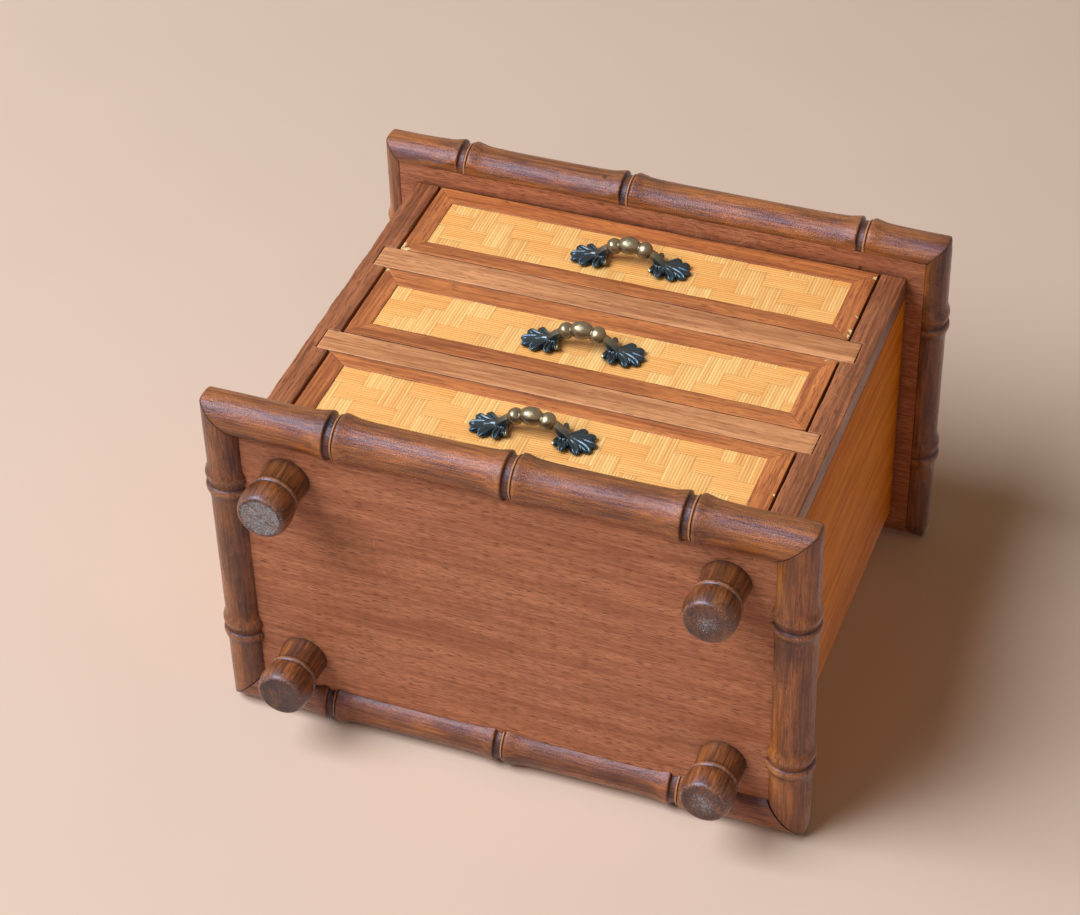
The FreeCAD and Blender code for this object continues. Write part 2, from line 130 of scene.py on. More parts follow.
class Graph:
    """Places and links shader nodes in one tree."""

    def __init__(self, tree: bpy.types.NodeTree) -> None:
        """Work on a material's, a group's or the world's tree."""
        self.tree = tree

    def link(self, source: Socket, target: Socket) -> None:
        """Lead one socket into another."""
        self.tree.links.new(source, target)

    def feed(self, node: bpy.types.Node, inputs: dict) -> None:
        """Fill a node's inputs.

        Args:
            node: The node.
            inputs: Input names or places, each with a socket to link or a value to set.
        """
        for name, value in inputs.items():
            if isinstance(value, bpy.types.NodeSocket):
                self.link(value, node.inputs[name])
            else:
                node.inputs[name].default_value = value

    def add(self, kind: str, inputs: dict | None = None, **settings: object) -> bpy.types.Node:
        """Place a node, set its options and feed its inputs.

        Args:
            kind: The node's type, without the word ShaderNode.
            inputs: Input names or places, each with a socket to link or a value to set.
            **settings: The node's own options.

        Returns:
            The node.
        """
        node = self.tree.nodes.new("ShaderNode" + kind)
        for name, value in settings.items():
            setattr(node, name, value)
        self.feed(node, inputs or {})
        return node

    def math(self, operation: str, first: Link, second: Link = 0.0, clamp: bool = False) -> Socket:
        """An operation on two numbers. A clamped one stays from 0 to 1."""
        return self.add("Math", {0: first, 1: second}, operation=operation, use_clamp=clamp).outputs[0]

    def plus(self, first: Link, second: Link, clamp: bool = False) -> Socket:
        """One number and another."""
        return self.math("ADD", first, second, clamp)

    def minus(self, first: Link, second: Link) -> Socket:
        """One number less another."""
        return self.math("SUBTRACT", first, second)

    def times(self, first: Link, second: Link, clamp: bool = False) -> Socket:
        """One number times another."""
        return self.math("MULTIPLY", first, second, clamp)

    def swing(self, value: Link, reach: Link) -> Socket:
        """A number that varies round a half, turned to vary round zero over a reach."""
        return self.times(self.minus(value, 0.5), reach)

    def past(self, value: Link, level: Link, slope: float) -> Socket:
        """How far a number is past a level, from 0 to 1, rising with a slope."""
        return self.times(self.minus(value, level), slope, clamp=True)

    def mix(self, share: Link, first: Link, second: Link, blend: str = "MIX") -> Socket:
        """Two colours, with a share of the second."""
        feeds = {0: share, 6: first, 7: second}
        return self.add("Mix", feeds, data_type="RGBA", blend_type=blend).outputs[2]

    def remap(self, value: Link, low: float, high: float, to_low: float = 0.0,
              to_high: float = 1.0) -> Socket:
        """A smooth step of a number from one range to another."""
        feeds = {"Value": value, "From Min": low, "From Max": high, "To Min": to_low, "To Max": to_high}
        return self.add("MapRange", feeds, interpolation_type="SMOOTHSTEP").outputs[0]

    def stretch(self, vector: Link, along: float) -> Socket:
        """Coordinates multiplied along X, so that a pattern on them runs along the grain."""
        return self.add("VectorMath", {0: vector, 1: (along, 1.0, 1.0)}, operation="MULTIPLY").outputs[0]

    def noise(self, vector: Link, scale: Link, detail: float = 2.0, roughness: float = 0.5,
              warp: float = 0.0) -> Socket:
        """Soft random values over a vector.

        Args:
            vector: Where the values are read.
            scale: Changes per metre.
            detail: How many finer layers are added.
            roughness: How strong the finer layers are.
            warp: How much the pattern is bent.

        Returns:
            The values' socket.
        """
        feeds = {"Vector": vector, "Scale": scale, "Detail": detail, "Roughness": roughness,
                 "Distortion": warp}
        return self.add("TexNoise", feeds).outputs[0]

    def place(self) -> Socket:
        """The piece's own coordinates, in metres."""
        return self.add("TexCoord").outputs["Object"]

    def attribute(self, name: str) -> Socket:
        """A value that the mesh carries."""
        return self.add("Attribute", attribute_name=name).outputs["Fac"]

    def bump(self, strength: float, depth: float, height: Link) -> Socket:
        """Normals of a surface whose relief is a depth in millimetres."""
        return self.add("Bump", {"Strength": strength, "Distance": depth * MM, "Height": height}).outputs[0]

    def mask(self, effect: bpy.types.NodeTree, vector: Link, **values: float) -> Socket:
        """Where a shared effect shows, with its other inputs as named values."""
        feeds = {"Vector": vector, **{name.title(): value for name, value in values.items()}}
        return self.add("Group", feeds, node_tree=effect).outputs["Mask"]


def start_group(name: str, inputs: dict[str, float | None],
                outputs: tuple[str, ...]) -> tuple[Graph, dict, dict]:
    """Start a shader node group with named sockets.

    Args:
        name: The group's name.
        inputs: Input names, each with its default: a number, or None for a vector.
        outputs: Names of the numbers that it gives.

    Returns:
        The graph, its inputs by name and its outputs by name.
    """
    tree = bpy.data.node_groups.new(name, "ShaderNodeTree")
    for title, default in inputs.items():
        kind = "NodeSocketVector" if default is None else "NodeSocketFloat"
        socket = tree.interface.new_socket(name=title, in_out="INPUT", socket_type=kind)
        if default is not None:
            socket.default_value = default
    for title in outputs:
        tree.interface.new_socket(name=title, in_out="OUTPUT", socket_type="NodeSocketFloat")
    source = tree.nodes.new("NodeGroupInput")
    target = tree.nodes.new("NodeGroupOutput")
    return Graph(tree), {k: source.outputs[k] for k in inputs}, {k: target.inputs[k] for k in outputs}


@cache
def grain_group() -> bpy.types.NodeTree:
    """Streaks of lighter and darker wood along X, with short open pores.

    Returns:
        The group, with the outputs Tone, Pores and Height.
    """
    inputs = {"Vector": None, "Scale": 1.0, "Pore Share": 0.35}
    graph, given, out = start_group("wood_grain", inputs, ("Tone", "Pores", "Height"))
    feeds = {0: given["Vector"], "Scale": given["Scale"]}
    scaled = graph.add("VectorMath", feeds, operation="SCALE").outputs[0]
    along = graph.stretch(scaled, 0.045)
    streaks = graph.noise(along, 850.0, detail=4.0, roughness=0.6, warp=0.3)
    bands = graph.noise(graph.stretch(scaled, 0.07), 120.0, detail=3.0, warp=0.6)
    mixed = graph.plus(graph.times(streaks, 0.55), graph.times(bands, 0.45))
    graph.link(graph.remap(mixed, 0.36, 0.64), out["Tone"])
    dashes = graph.noise(graph.stretch(scaled, 0.06), 2700.0, detail=1.0, roughness=0.4)
    edge = graph.minus(0.74, graph.times(given["Pore Share"], 0.25))
    pore_mask = graph.past(graph.plus(dashes, graph.swing(bands, 0.2)), edge, 12.0)
    graph.link(pore_mask, out["Pores"])
    height = graph.minus(graph.times(streaks, 0.7), graph.times(pore_mask, 0.5))
    graph.link(height, out["Height"])
    return graph.tree


@cache
def edge_wear_group() -> bpy.types.NodeTree:
    """Where hands and shelves have rubbed an edge.

    Returns:
        The group, with the output Mask.
    """
    graph, given, out = start_group("edge_wear", {"Vector": None, "Radius": 0.0006, "Amount": 0.5}, ("Mask",))
    rounded = graph.add("Bevel", {"Radius": given["Radius"]}, samples=4).outputs[0]
    normal = graph.add("NewGeometry").outputs["Normal"]
    facing = graph.add("VectorMath", {0: rounded, 1: normal}, operation="DOT_PRODUCT").outputs["Value"]
    edge = graph.remap(graph.minus(1.0, facing), 0.02, 0.22)
    patches = graph.noise(given["Vector"], 120.0, detail=4.0, roughness=0.7)
    level = graph.minus(0.72, graph.times(given["Amount"], 0.4))
    graph.link(graph.times(edge, graph.past(patches, level, 9.0), clamp=True), out["Mask"])
    return graph.tree


@cache
def grime_and_shade_group() -> bpy.types.NodeTree:
    """Darkening in corners and crevices: soiling and old varnish that gather there, and painted shade from
    ambient occlusion.

    Returns:
        The group, with the output Mask.
    """
    inputs = {"Vector": None, "Distance": 0.003, "Amount": 0.5}
    graph, given, out = start_group("corner_grime_and_shade", inputs, ("Mask",))
    # Painted shade: how much nearby surfaces hide a point darkens it, as shade in a corner would.
    open_share = graph.add("AmbientOcclusion", {"Distance": given["Distance"]}, samples=6).outputs["AO"]
    corner = graph.remap(open_share, 0.78, 0.25)
    cloud = graph.remap(graph.noise(given["Vector"], 160.0, detail=3.0), 0.3, 0.62, 0.45, 1.0)
    mask = graph.times(graph.times(corner, cloud), given["Amount"], clamp=True)
    graph.link(mask, out["Mask"])
    return graph.tree


@cache
def scratch_group() -> bpy.types.NodeTree:
    """Fine scratches in two directions, in a few patches.

    Returns:
        The group, with the output Mask.
    """
    graph, given, out = start_group("scratches", {"Vector": None, "Amount": 0.4}, ("Mask",))
    total: Link = 0.0
    for turn, place in ((0.6, 3.1), (-0.9, 7.7)):
        feeds = {"Vector": given["Vector"], "Axis": (0.2, 0.3, 1.0), "Angle": turn}
        turned = graph.add("VectorRotate", feeds)
        moved = graph.add("VectorMath", {0: turned.outputs[0], 1: (place, place, place)}).outputs[0]
        line = graph.noise(graph.stretch(moved, 0.06), 260.0, detail=1.0)
        off_line = graph.math("ABSOLUTE", graph.minus(line, 0.5))
        thin = graph.remap(off_line, 0.0045, 0.001)
        patch = graph.noise(moved, 26.0, detail=1.0)
        level = graph.minus(0.75, graph.times(given["Amount"], 0.25))
        total = graph.math("MAXIMUM", total, graph.times(thin, graph.past(patch, level, 10.0)))
    graph.link(total, out["Mask"])
    return graph.tree


@cache
def speck_group() -> bpy.types.NodeTree:
    """Small scattered specks, such as dents, old glue and soiling.

    Returns:
        The group, with the output Mask.
    """
    inputs = {"Vector": None, "Scale": 90.0, "Share": 0.1, "Size": 0.12}
    graph, given, out = start_group("specks", inputs, ("Mask",))
    bent = graph.noise(given["Vector"], 900.0, detail=1.0)
    cells = graph.add("TexVoronoi", {"Vector": given["Vector"], "Scale": given["Scale"]})
    reach = graph.plus(cells.outputs["Distance"], graph.swing(bent, 0.12))
    spot = graph.past(given["Size"], reach, 25.0)
    pick = graph.add("SeparateColor", {0: cells.outputs["Color"]}).outputs[0]
    chosen = graph.math("LESS_THAN", pick, given["Share"])
    graph.link(graph.times(spot, chosen), out["Mask"])
    return graph.tree


def new_material(name: str) -> tuple[bpy.types.Material, Graph, bpy.types.Node]:
    """Start a material around one Principled shader.

    Args:
        name: The material's name.

    Returns:
        The material, its graph and its Principled node.
    """
    material = bpy.data.materials.new(name)
    material.use_nodes = True
    return material, Graph(material.node_tree), material.node_tree.nodes["Principled BSDF"]


def grain_vector(graph: Graph, run: GrainRun) -> Socket:
    """Coordinates whose X runs along the grain.

    Args:
        graph: The material's graph.
        run: Which way the grain runs.

    Returns:
        The coordinates' socket, in metres.
    """
    if run is GrainRun.LAID:
        return graph.add("Attribute", attribute_name="grain").outputs["Vector"]
    place = graph.place()
    if run is GrainRun.X:
        return place
    parts = graph.add("SeparateXYZ", {0: place}).outputs
    order = (parts[1], parts[0], parts[2]) if run is GrainRun.Y else (parts[2], parts[1], parts[0])
    return graph.add("CombineXYZ", dict(enumerate(order))).outputs[0]


# Finishes


@dataclass(frozen=True)
class Wood:
    """A wooden surface, from raw softwood to thick old varnish.

    Colours are screen colours, 0 to 255.
    """

    name: str
    dark: Rgb
    light: Rgb
    pore: Rgb
    run: GrainRun = GrainRun.LAID
    grain_scale: float = 1.0
    pore_share: float = 0.35
    pore_strength: float = 0.8
    roughness: float = 0.36
    varnish: float = 0.5
    varnish_roughness: float = 0.14
    gloss: float = 0.5
    # Tint of the specular reflection; a blue one is a painted sheen that stands in for cool window light.
    painted_sheen_tint: Rgb = (255, 255, 255)
    relief: float = 0.3
    grit: float = 0.0
    blotch: float = 0.15
    worn: Rgb = (196, 150, 110)
    wear: float = 0.4
    wear_radius: float = 0.6
    # Soiling and painted shade: an occlusion mask over a reach in millimetres darkens corners towards a colour
    # that specks and the turned pieces' darkening also use.
    grime_and_shade: float = 0.7
    grime_and_shade_reach: float = 3.0
    grime_and_shade_colour: Rgb = (38, 20, 12)
    scratches: float = 0.3
    specks: float = 0.06
    bare: Rgb = (222, 178, 120)

    def build(self) -> bpy.types.Material:
        """Make the material.

        Returns:
            The material.
        """
        material, graph, shader = new_material(self.name)
        vector = grain_vector(graph, self.run)
        feeds = {"Vector": vector, "Scale": self.grain_scale, "Pore Share": self.pore_share}
        grain = graph.add("Group", feeds, node_tree=grain_group())
        colour = graph.mix(grain.outputs["Tone"], srgb(*self.dark), srgb(*self.light))
        pores = graph.times(grain.outputs["Pores"], self.pore_strength)
        colour = graph.mix(pores, colour, srgb(*self.pore))
        tint = graph.attribute("tint")
        patch = graph.noise(graph.stretch(vector, 0.45), 95.0, detail=4.0, roughness=0.65)
        shade = graph.plus(graph.plus(1.0, tint), graph.swing(patch, 2.0 * self.blotch))
        grey = graph.add("CombineColor", {0: shade, 1: shade, 2: shade}).outputs[0]
        colour = graph.mix(1.0, colour, grey, "MULTIPLY")
        wear = graph.mask(edge_wear_group(), vector, radius=self.wear_radius * MM, amount=self.wear)
        colour = graph.mix(graph.times(wear, 0.75), colour, srgb(*self.worn))
        marks = graph.mask(scratch_group(), vector, amount=self.scratches)
        colour = graph.mix(graph.times(marks, 0.5), colour, srgb(*self.worn))
        specks = graph.mask(speck_group(), vector, share=self.specks)
        colour = graph.mix(graph.times(specks, 0.7), colour, srgb(*self.grime_and_shade_colour))
        # Painted shade with soiling: corners and crevices darken by ambient occlusion.
        grime_and_shade = graph.mask(grime_and_shade_group(), vector, distance=self.grime_and_shade_reach * MM, amount=self.grime_and_shade)
        colour = graph.mix(grime_and_shade, colour, srgb(*self.grime_and_shade_colour))
        # Darkening carried by the turned pieces: soiling at mitres and foot ends, and painted shade in grooves
        # and under the board.
        stain = graph.attribute("stain")
        colour = graph.mix(graph.times(stain, 0.85), colour, srgb(*self.grime_and_shade_colour))
        fleck = graph.noise(vector, 1500.0, detail=3.0, roughness=0.7)
        ragged = graph.swing(fleck, 1.4)
        rubbed = graph.remap(graph.plus(graph.attribute("rubbed"), ragged), 0.35, 0.7)
        colour = graph.mix(graph.times(rubbed, 0.8), colour, srgb(*self.worn))
        bare = graph.remap(graph.plus(graph.attribute("bare"), ragged), 0.4, 0.62)
        grains = graph.noise(vector, 2300.0, detail=2.0, roughness=0.8)
        raw = graph.mix(graph.remap(grains, 0.38, 0.62), shaded(self.bare, 0.35), shaded(self.bare, 1.5))
        colour = graph.mix(bare, colour, raw)
        dull = graph.math("MAXIMUM", graph.math("MAXIMUM", wear, marks), bare)
        rough = graph.plus(self.roughness, graph.times(pores, 0.15))
        cloud = graph.swing(graph.noise(vector, 55.0, detail=3.0), 0.22)
        rough = graph.plus(graph.plus(rough, cloud), graph.times(dull, 0.25), clamp=True)
        coat = graph.times(graph.minus(1.0, dull), self.varnish, clamp=True)
        height = graph.minus(grain.outputs["Height"], graph.times(specks, 1.2))
        height = graph.minus(height, graph.times(marks, 0.5))
        height = graph.plus(height, graph.times(fleck, self.grit))
        graph.feed(shader, {
            "Base Color": colour, "Roughness": rough, "Coat Weight": coat,
            "Coat Roughness": self.varnish_roughness, "Specular IOR Level": self.gloss,
            # Blue specular tint: painted cool sheen on the reflections.
            "Specular Tint": srgb(*self.painted_sheen_tint),
            "Normal": graph.bump(self.relief, 0.15, height),
        })
        return material


@dataclass(frozen=True)
class Straw:
    """Flat straws of the woven fronts, under a thin varnish."""

    name: str = "woven_straw"
    pale: Rgb = (255, 210, 134)
    deep: Rgb = (222, 146, 68)
    # Colour of straws lying along X: a painted difference of sheen, as light catches lying and standing fibres
    # differently.
    across: Rgb = (244, 174, 92)
    # Colour of the lines between straws and of the painted shade where straws go under a crossing band.
    seam: Rgb = (150, 84, 30)
    spot: Rgb = (118, 72, 36)
    grime_and_shade: Rgb = (120, 66, 24)
    roughness: float = 0.34
    varnish: float = 0.25

    def build(self) -> bpy.types.Material:
        """Make the material.

        Returns:
            The material.
        """
        material, graph, shader = new_material(self.name)
        vector = grain_vector(graph, GrainRun.LAID)
        tone = graph.attribute("tone")
        level = graph.attribute("level")
        lines = graph.noise(graph.stretch(vector, 0.02), 2600.0, detail=2.0, roughness=0.6)
        blotch = graph.noise(graph.stretch(vector, 0.3), 130.0, detail=3.0)
        share = graph.plus(graph.times(lines, 0.55), graph.times(blotch, 0.45))
        share = graph.plus(graph.remap(share, 0.35, 0.68, 0.05, 0.5), tone, clamp=True)
        colour = graph.mix(share, srgb(*self.pale), srgb(*self.deep))
        # Painted sheen: straws lying along X take the across colour.
        colour = graph.mix(graph.times(level, 0.45), colour, srgb(*self.across))
        # Dark lines between straws, and painted shade at the straws' tucked ends.
        seam = graph.attribute("seam")
        colour = graph.mix(graph.times(seam, 0.45), colour, srgb(*self.seam))
        place = graph.place()
        spots = graph.mask(speck_group(), place, scale=55.0, share=0.05, size=0.05)
        colour = graph.mix(graph.times(spots, 0.6), colour, srgb(*self.spot))
        # Painted shade with soiling: corners between straws and frame darken by ambient occlusion.
        grime_and_shade = graph.mask(grime_and_shade_group(), place, distance=2.0 * MM, amount=0.45)
        colour = graph.mix(grime_and_shade, colour, srgb(*self.grime_and_shade))
        graph.feed(shader, {
            "Base Color": colour, "Roughness": graph.plus(self.roughness, graph.swing(blotch, 0.3)),
            "Coat Weight": self.varnish, "Coat Roughness": 0.2, "Normal": graph.bump(0.35, 0.08, lines),
        })
        return material


@dataclass(frozen=True)
class CastMetal:
    """Cast brass, blackened in its hollows and rubbed on its high places. Its blackened colour is tinted blue:
    a painted reflection of cool light.
    """

    name: str = "antique_casting"
    # Blackened brass tinted blue: a painted reflection of cool light.
    black_with_painted_sheen: Rgb = (50, 72, 86)
    rubbed: Rgb = (136, 128, 104)
    soot: Rgb = (12, 12, 13)
    roughness: float = 0.34
    wax: float = 0.35

    def build(self) -> bpy.types.Material:
        """Make the material.

        Returns:
            The material.
        """
        material, graph, shader = new_material(self.name)
        place = graph.place()
        rub = graph.attribute("rub")
        cloud = graph.noise(place, 700.0, detail=4.0, roughness=0.65)
        mask = graph.times(rub, graph.remap(cloud, 0.25, 0.5, 0.35, 1.0), clamp=True)
        grime_and_shade = graph.mask(grime_and_shade_group(), place, distance=0.9 * MM, amount=0.6)
        mask = graph.times(mask, graph.minus(1.0, grime_and_shade), clamp=True)
        colour = graph.mix(mask, srgb(*self.black_with_painted_sheen), srgb(*self.rubbed))
        colour = graph.mix(grime_and_shade, colour, srgb(*self.soot))
        metal = graph.minus(0.92, graph.times(grime_and_shade, 0.6))
        rough = graph.plus(self.roughness, graph.swing(cloud, 0.35))
        rough = graph.plus(rough, graph.times(grime_and_shade, 0.3), clamp=True)
        graph.feed(shader, {
            "Base Color": colour, "Metallic": metal, "Roughness": rough, "Coat Weight": self.wax,
            "Coat Roughness": 0.16, "Normal": graph.bump(0.4, 0.12, cloud),
        })
        return material


@dataclass(frozen=True)
class Felt:
    """Short dark red nap that lines the drawers."""

    name: str = "lining_felt"
    deep: Rgb = (78, 14, 20)
    raised: Rgb = (128, 34, 40)

    def build(self) -> bpy.types.Material:
        """Make the material.

        Returns:
            The material.
        """
        material, graph, shader = new_material(self.name)
        place = graph.place()
        nap = graph.noise(place, 2400.0, detail=3.0, roughness=0.8, warp=1.5)
        cloud = graph.noise(place, 60.0, detail=2.0)
        share = graph.plus(graph.times(nap, 0.7), graph.times(cloud, 0.4))
        colour = graph.mix(graph.remap(share, 0.35, 0.75), srgb(*self.deep), srgb(*self.raised))
        graph.feed(shader, {
            "Base Color": colour, "Roughness": 0.95, "Sheen Weight": 0.4,
            "Normal": graph.bump(0.6, 0.25, nap),
        })
        return material


@dataclass(frozen=True)
class Steel:
    """Plain turned steel with a little tarnish."""

    name: str = "screw_steel"
    bright: Rgb = (186, 184, 178)
    dull: Rgb = (112, 102, 90)

    def build(self) -> bpy.types.Material:
        """Make the material.

        Returns:
            The material.
        """
        material, graph, shader = new_material(self.name)
        place = graph.place()
        cloud = graph.noise(place, 900.0, detail=4.0)
        colour = graph.mix(graph.remap(cloud, 0.4, 0.7), srgb(*self.bright), srgb(*self.dull))
        graph.feed(shader, {
            "Base Color": colour, "Metallic": 1.0, "Roughness": graph.plus(0.22, graph.times(cloud, 0.25)),
            "Normal": graph.bump(0.15, 0.05, cloud),
        })
        return material


MOULDING = Wood(
    "moulding_varnish", dark=(104, 58, 20), light=(172, 104, 44), pore=(60, 30, 11), grain_scale=1.5,
    pore_share=0.45, pore_strength=0.65, roughness=0.28, varnish=0.15, varnish_roughness=0.16,
    gloss=0.65, painted_sheen_tint=(140, 190, 255), relief=0.7, grit=3.0, blotch=0.7, worn=(190, 136, 92),
    wear=0.25, grime_and_shade=0.95, grime_and_shade_reach=2.6, grime_and_shade_colour=(34, 17, 7), scratches=0.45, specks=0.1,
)
BOARD = Wood(
    "board_varnish", dark=(148, 88, 60), light=(186, 122, 88), pore=(84, 44, 28), run=GrainRun.X,
    grain_scale=1.4, pore_share=0.7, pore_strength=0.75, roughness=0.5, varnish=0.06,
    varnish_roughness=0.35, gloss=0.3, relief=0.4, worn=(206, 164, 130), wear=0.2, grime_and_shade=0.8,
    grime_and_shade_reach=7.0, scratches=0.75, specks=0.02,
)
STILE = Wood(
    "stile_varnish", dark=(112, 64, 40), light=(176, 110, 72), pore=(54, 28, 18), pore_share=0.5,
    roughness=0.42, varnish=0.12, gloss=0.35, relief=0.55, grit=0.6, worn=(212, 168, 130), wear=1.0,
    wear_radius=0.9, grime_and_shade=0.65, grime_and_shade_reach=1.6, scratches=0.5, specks=0.08,
)
RAIL = Wood(
    "rail_varnish", dark=(164, 106, 67), light=(218, 156, 108), pore=(100, 56, 34), pore_share=0.5,
    pore_strength=0.65, roughness=0.45, varnish=0.15, gloss=0.35, relief=0.35, worn=(222, 176, 128),
    wear=0.4, grime_and_shade=0.65, grime_and_shade_reach=1.6, scratches=0.35, specks=0.05,
)
FRAME = Wood(
    "frame_varnish", dark=(143, 78, 42), light=(204, 127, 72), pore=(86, 44, 26), pore_share=0.5,
    pore_strength=0.7, roughness=0.42, varnish=0.2, gloss=0.35, relief=0.4, worn=(216, 168, 118),
    wear=0.4, wear_radius=0.4, grime_and_shade=0.65, grime_and_shade_reach=1.4, scratches=0.3, specks=0.06,
    bare=(240, 206, 150),
)
VENEER = Wood(
    "side_veneer_varnish", dark=(190, 104, 22), light=(220, 136, 40), pore=(154, 80, 18), run=GrainRun.Z,
    grain_scale=0.7, pore_share=0.3, pore_strength=0.5, roughness=0.7, varnish=0.0, gloss=0.02,
    relief=0.2, worn=(232, 168, 84), wear=0.3, grime_and_shade=0.7, grime_and_shade_reach=6.0, scratches=0.3, specks=0.015,
)
FOOT = Wood(
    "foot_stain", dark=(78, 42, 18), light=(152, 92, 44), pore=(36, 18, 10), pore_share=0.45,
    roughness=0.38, varnish=0.3, varnish_roughness=0.22, gloss=0.7, painted_sheen_tint=(160, 200, 255),
    relief=0.5, grit=2.4, blotch=0.6, worn=(170, 126, 96), wear=0.4, grime_and_shade=0.85, grime_and_shade_reach=2.4,
    grime_and_shade_colour=(40, 28, 22), scratches=0.5, specks=0.12, bare=(138, 134, 135),
)
SOFTWOOD = Wood(
    "drawer_softwood", dark=(196, 152, 100), light=(226, 190, 140), pore=(168, 124, 78), run=GrainRun.Y,
    grain_scale=0.6, pore_share=0.15, pore_strength=0.4, roughness=0.68, varnish=0.0, relief=0.25,
    worn=(236, 208, 164), wear=0.3, grime_and_shade=0.45, grime_and_shade_reach=3.0, grime_and_shade_colour=(96, 66, 40),
    scratches=0.1, specks=0.02,
)
SHELFWOOD = Wood(
    "shelf_softwood", dark=(182, 138, 90), light=(214, 174, 122), pore=(150, 108, 66), run=GrainRun.X,
    grain_scale=0.6, pore_share=0.15, pore_strength=0.4, roughness=0.7, varnish=0.0, relief=0.25,
    worn=(228, 198, 152), wear=0.3, grime_and_shade=0.5, grime_and_shade_colour=(84, 56, 34), scratches=0.15, specks=0.02,
)
PLYWOOD = Wood(
    "back_ply_stain", dark=(150, 96, 54), light=(186, 128, 78), pore=(112, 68, 36), run=GrainRun.Z,
    grain_scale=0.5, pore_share=0.3, pore_strength=0.5, roughness=0.62, varnish=0.05, relief=0.3,
    worn=(206, 160, 108), wear=0.3, grime_and_shade=0.6, grime_and_shade_reach=4.0, scratches=0.5, specks=0.04,
)
PEG = Wood(
    "dowel_beech", dark=(190, 142, 92), light=(216, 172, 122), pore=(150, 108, 70), run=GrainRun.Z,
    roughness=0.7, varnish=0.0, relief=0.2, wear=0.2, grime_and_shade=0.3, scratches=0.0, specks=0.0,
)
GROUND = Wood(
    "weave_ground", dark=(150, 92, 40), light=(186, 120, 56), pore=(120, 70, 30), roughness=0.6,
    varnish=0.0, relief=0.2, wear=0.0, grime_and_shade=0.3, scratches=0.0, specks=0.0,
)


@cache
def finish(maker: object) -> bpy.types.Material:
    """The material of one of this file's finishes, made once."""
    return maker.build()


# Meshes


@dataclass
class Shape:
    """Points and faces of one piece in millimetres, with the values that its finish reads at each point."""

    points: list[Vector] = field(default_factory=list)
    faces: list[tuple[int, ...]] = field(default_factory=list)
    values: dict[str, list[float]] = field(default_factory=dict)
    grain: list[Vector] = field(default_factory=list)

    def note(self, grain: Vector, **values: float) -> None:
        """Store what the finish reads at the next point.

        Args:
            grain: Coordinates along and across the grain, in millimetres.
            **values: Further values by name.
        """
        self.grain.append(grain)
        for title, value in values.items():
            self.values.setdefault(title, []).append(value)

    def add_rows(self, rows: Sequence[Sequence[Vector]], ends: bool = True, looped: bool = True) -> None:
        """Add a skin over rows of points, each row as long as the next.

        Args:
            rows: Rows of points.
            ends: Whether the first and last row are closed with a face.
            looped: Whether each row closes on itself.
        """
        first, width = len(self.points), len(rows[0])
        for row in rows:
            self.points.extend(row)
        span = width if looped else width - 1
        for i in range(len(rows) - 1):
            for j in range(span):
                a, b = first + i * width + j, first + i * width + (j + 1) % width
                self.faces.append((a, b, b + width, a + width))
        if ends:
            self.faces.append(tuple(first + j for j in reversed(range(width))))
            last = first + (len(rows) - 1) * width
            self.faces.append(tuple(last + j for j in range(width)))

    def mesh(self, name: str, sharp_angle: float = 38.0) -> bpy.types.Mesh:
        """Write the shape as a mesh.

        Args:
            name: The mesh's name.
            sharp_angle: Faces that meet at more than this angle, in degrees, keep a crisp edge.

        Returns:
            The mesh, in metres.
        """
        mesh = bpy.data.meshes.new(name)
        mesh.from_pydata([tuple(p * MM) for p in self.points], [], self.faces)
        for title, values in self.values.items():
            layer = mesh.attributes.new(title, "FLOAT", "POINT")
            layer.data.foreach_set("value", np.array(values, np.float32))
        if self.grain:
            layer = mesh.attributes.new("grain", "FLOAT_VECTOR", "POINT")
            runs = np.array([tuple(g * MM) for g in self.grain], np.float32)
            layer.data.foreach_set("vector", runs.ravel())
        worked = bmesh.new()
        worked.from_mesh(mesh)
        bmesh.ops.recalc_face_normals(worked, faces=worked.faces)
        worked.to_mesh(mesh)
        worked.free()
        mesh.polygons.foreach_set("use_smooth", [True] * len(mesh.polygons))
        mesh.set_sharp_from_angle(angle=math.radians(sharp_angle))
        return mesh


def place_piece(mesh: bpy.types.Mesh, name: str, body: str, maker: object,
                stands_for: Sequence[str] = ()) -> bpy.types.Object:
    """Put a finished mesh on its body.

    Args:
        mesh: The mesh.
        name: The piece's name.
        body: The CAD body that it rides on.
        maker: Its finish.
        stands_for: CAD nodes that it replaces.

    Returns:
        The piece.
    """
    piece = bpy.data.objects.new(name, mesh)
    bpy.context.scene.collection.objects.link(piece)
    piece.data.materials.append(finish(maker))
    if stands_for:
        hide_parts(*stands_for)
    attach(piece, body)
    log.info("%s: %d faces on %s", name, len(mesh.polygons), body)
    return piece


def dress_node(node: str, maker: object, edge: float) -> None:
    """Finish a CAD node that keeps its own shape, with softened edges.

    Args:
        node: The node's name.
        maker: Its finish.
        edge: How far its edges are softened, in millimetres.
    """
    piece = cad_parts[node]
    piece.data.materials.clear()
    piece.data.materials.append(finish(maker))
    if edge:
        soft = piece.modifiers.new("softened_edges", "BEVEL")
        soft.width = edge * MM
        soft.segments = 2
        soft.limit_method = "ANGLE"
        soft.angle_limit = math.radians(40)
    log.info("%s: CAD shape kept", node)


def rough_value(place: Vector, size: float, seed: float) -> float:
    """A soft random value from -1 to 1. Size and place are in millimetres, and seed tells pieces apart."""
    return noise.noise(place / size + Vector((seed * 7.3, seed * 3.1, seed * 5.7)))


@dataclass(frozen=True)
class Chip:
    """A place on a drawer's front, by its X and Z, where varnish and veneer have broken away."""

    x: float
    z: float
    radius: float
    depth: float = 0.25

    @property
    def place(self) -> Vector:
        """Its middle, in millimetres."""
        return Vector((self.x, CHIPPED_FACE_Y, self.z))


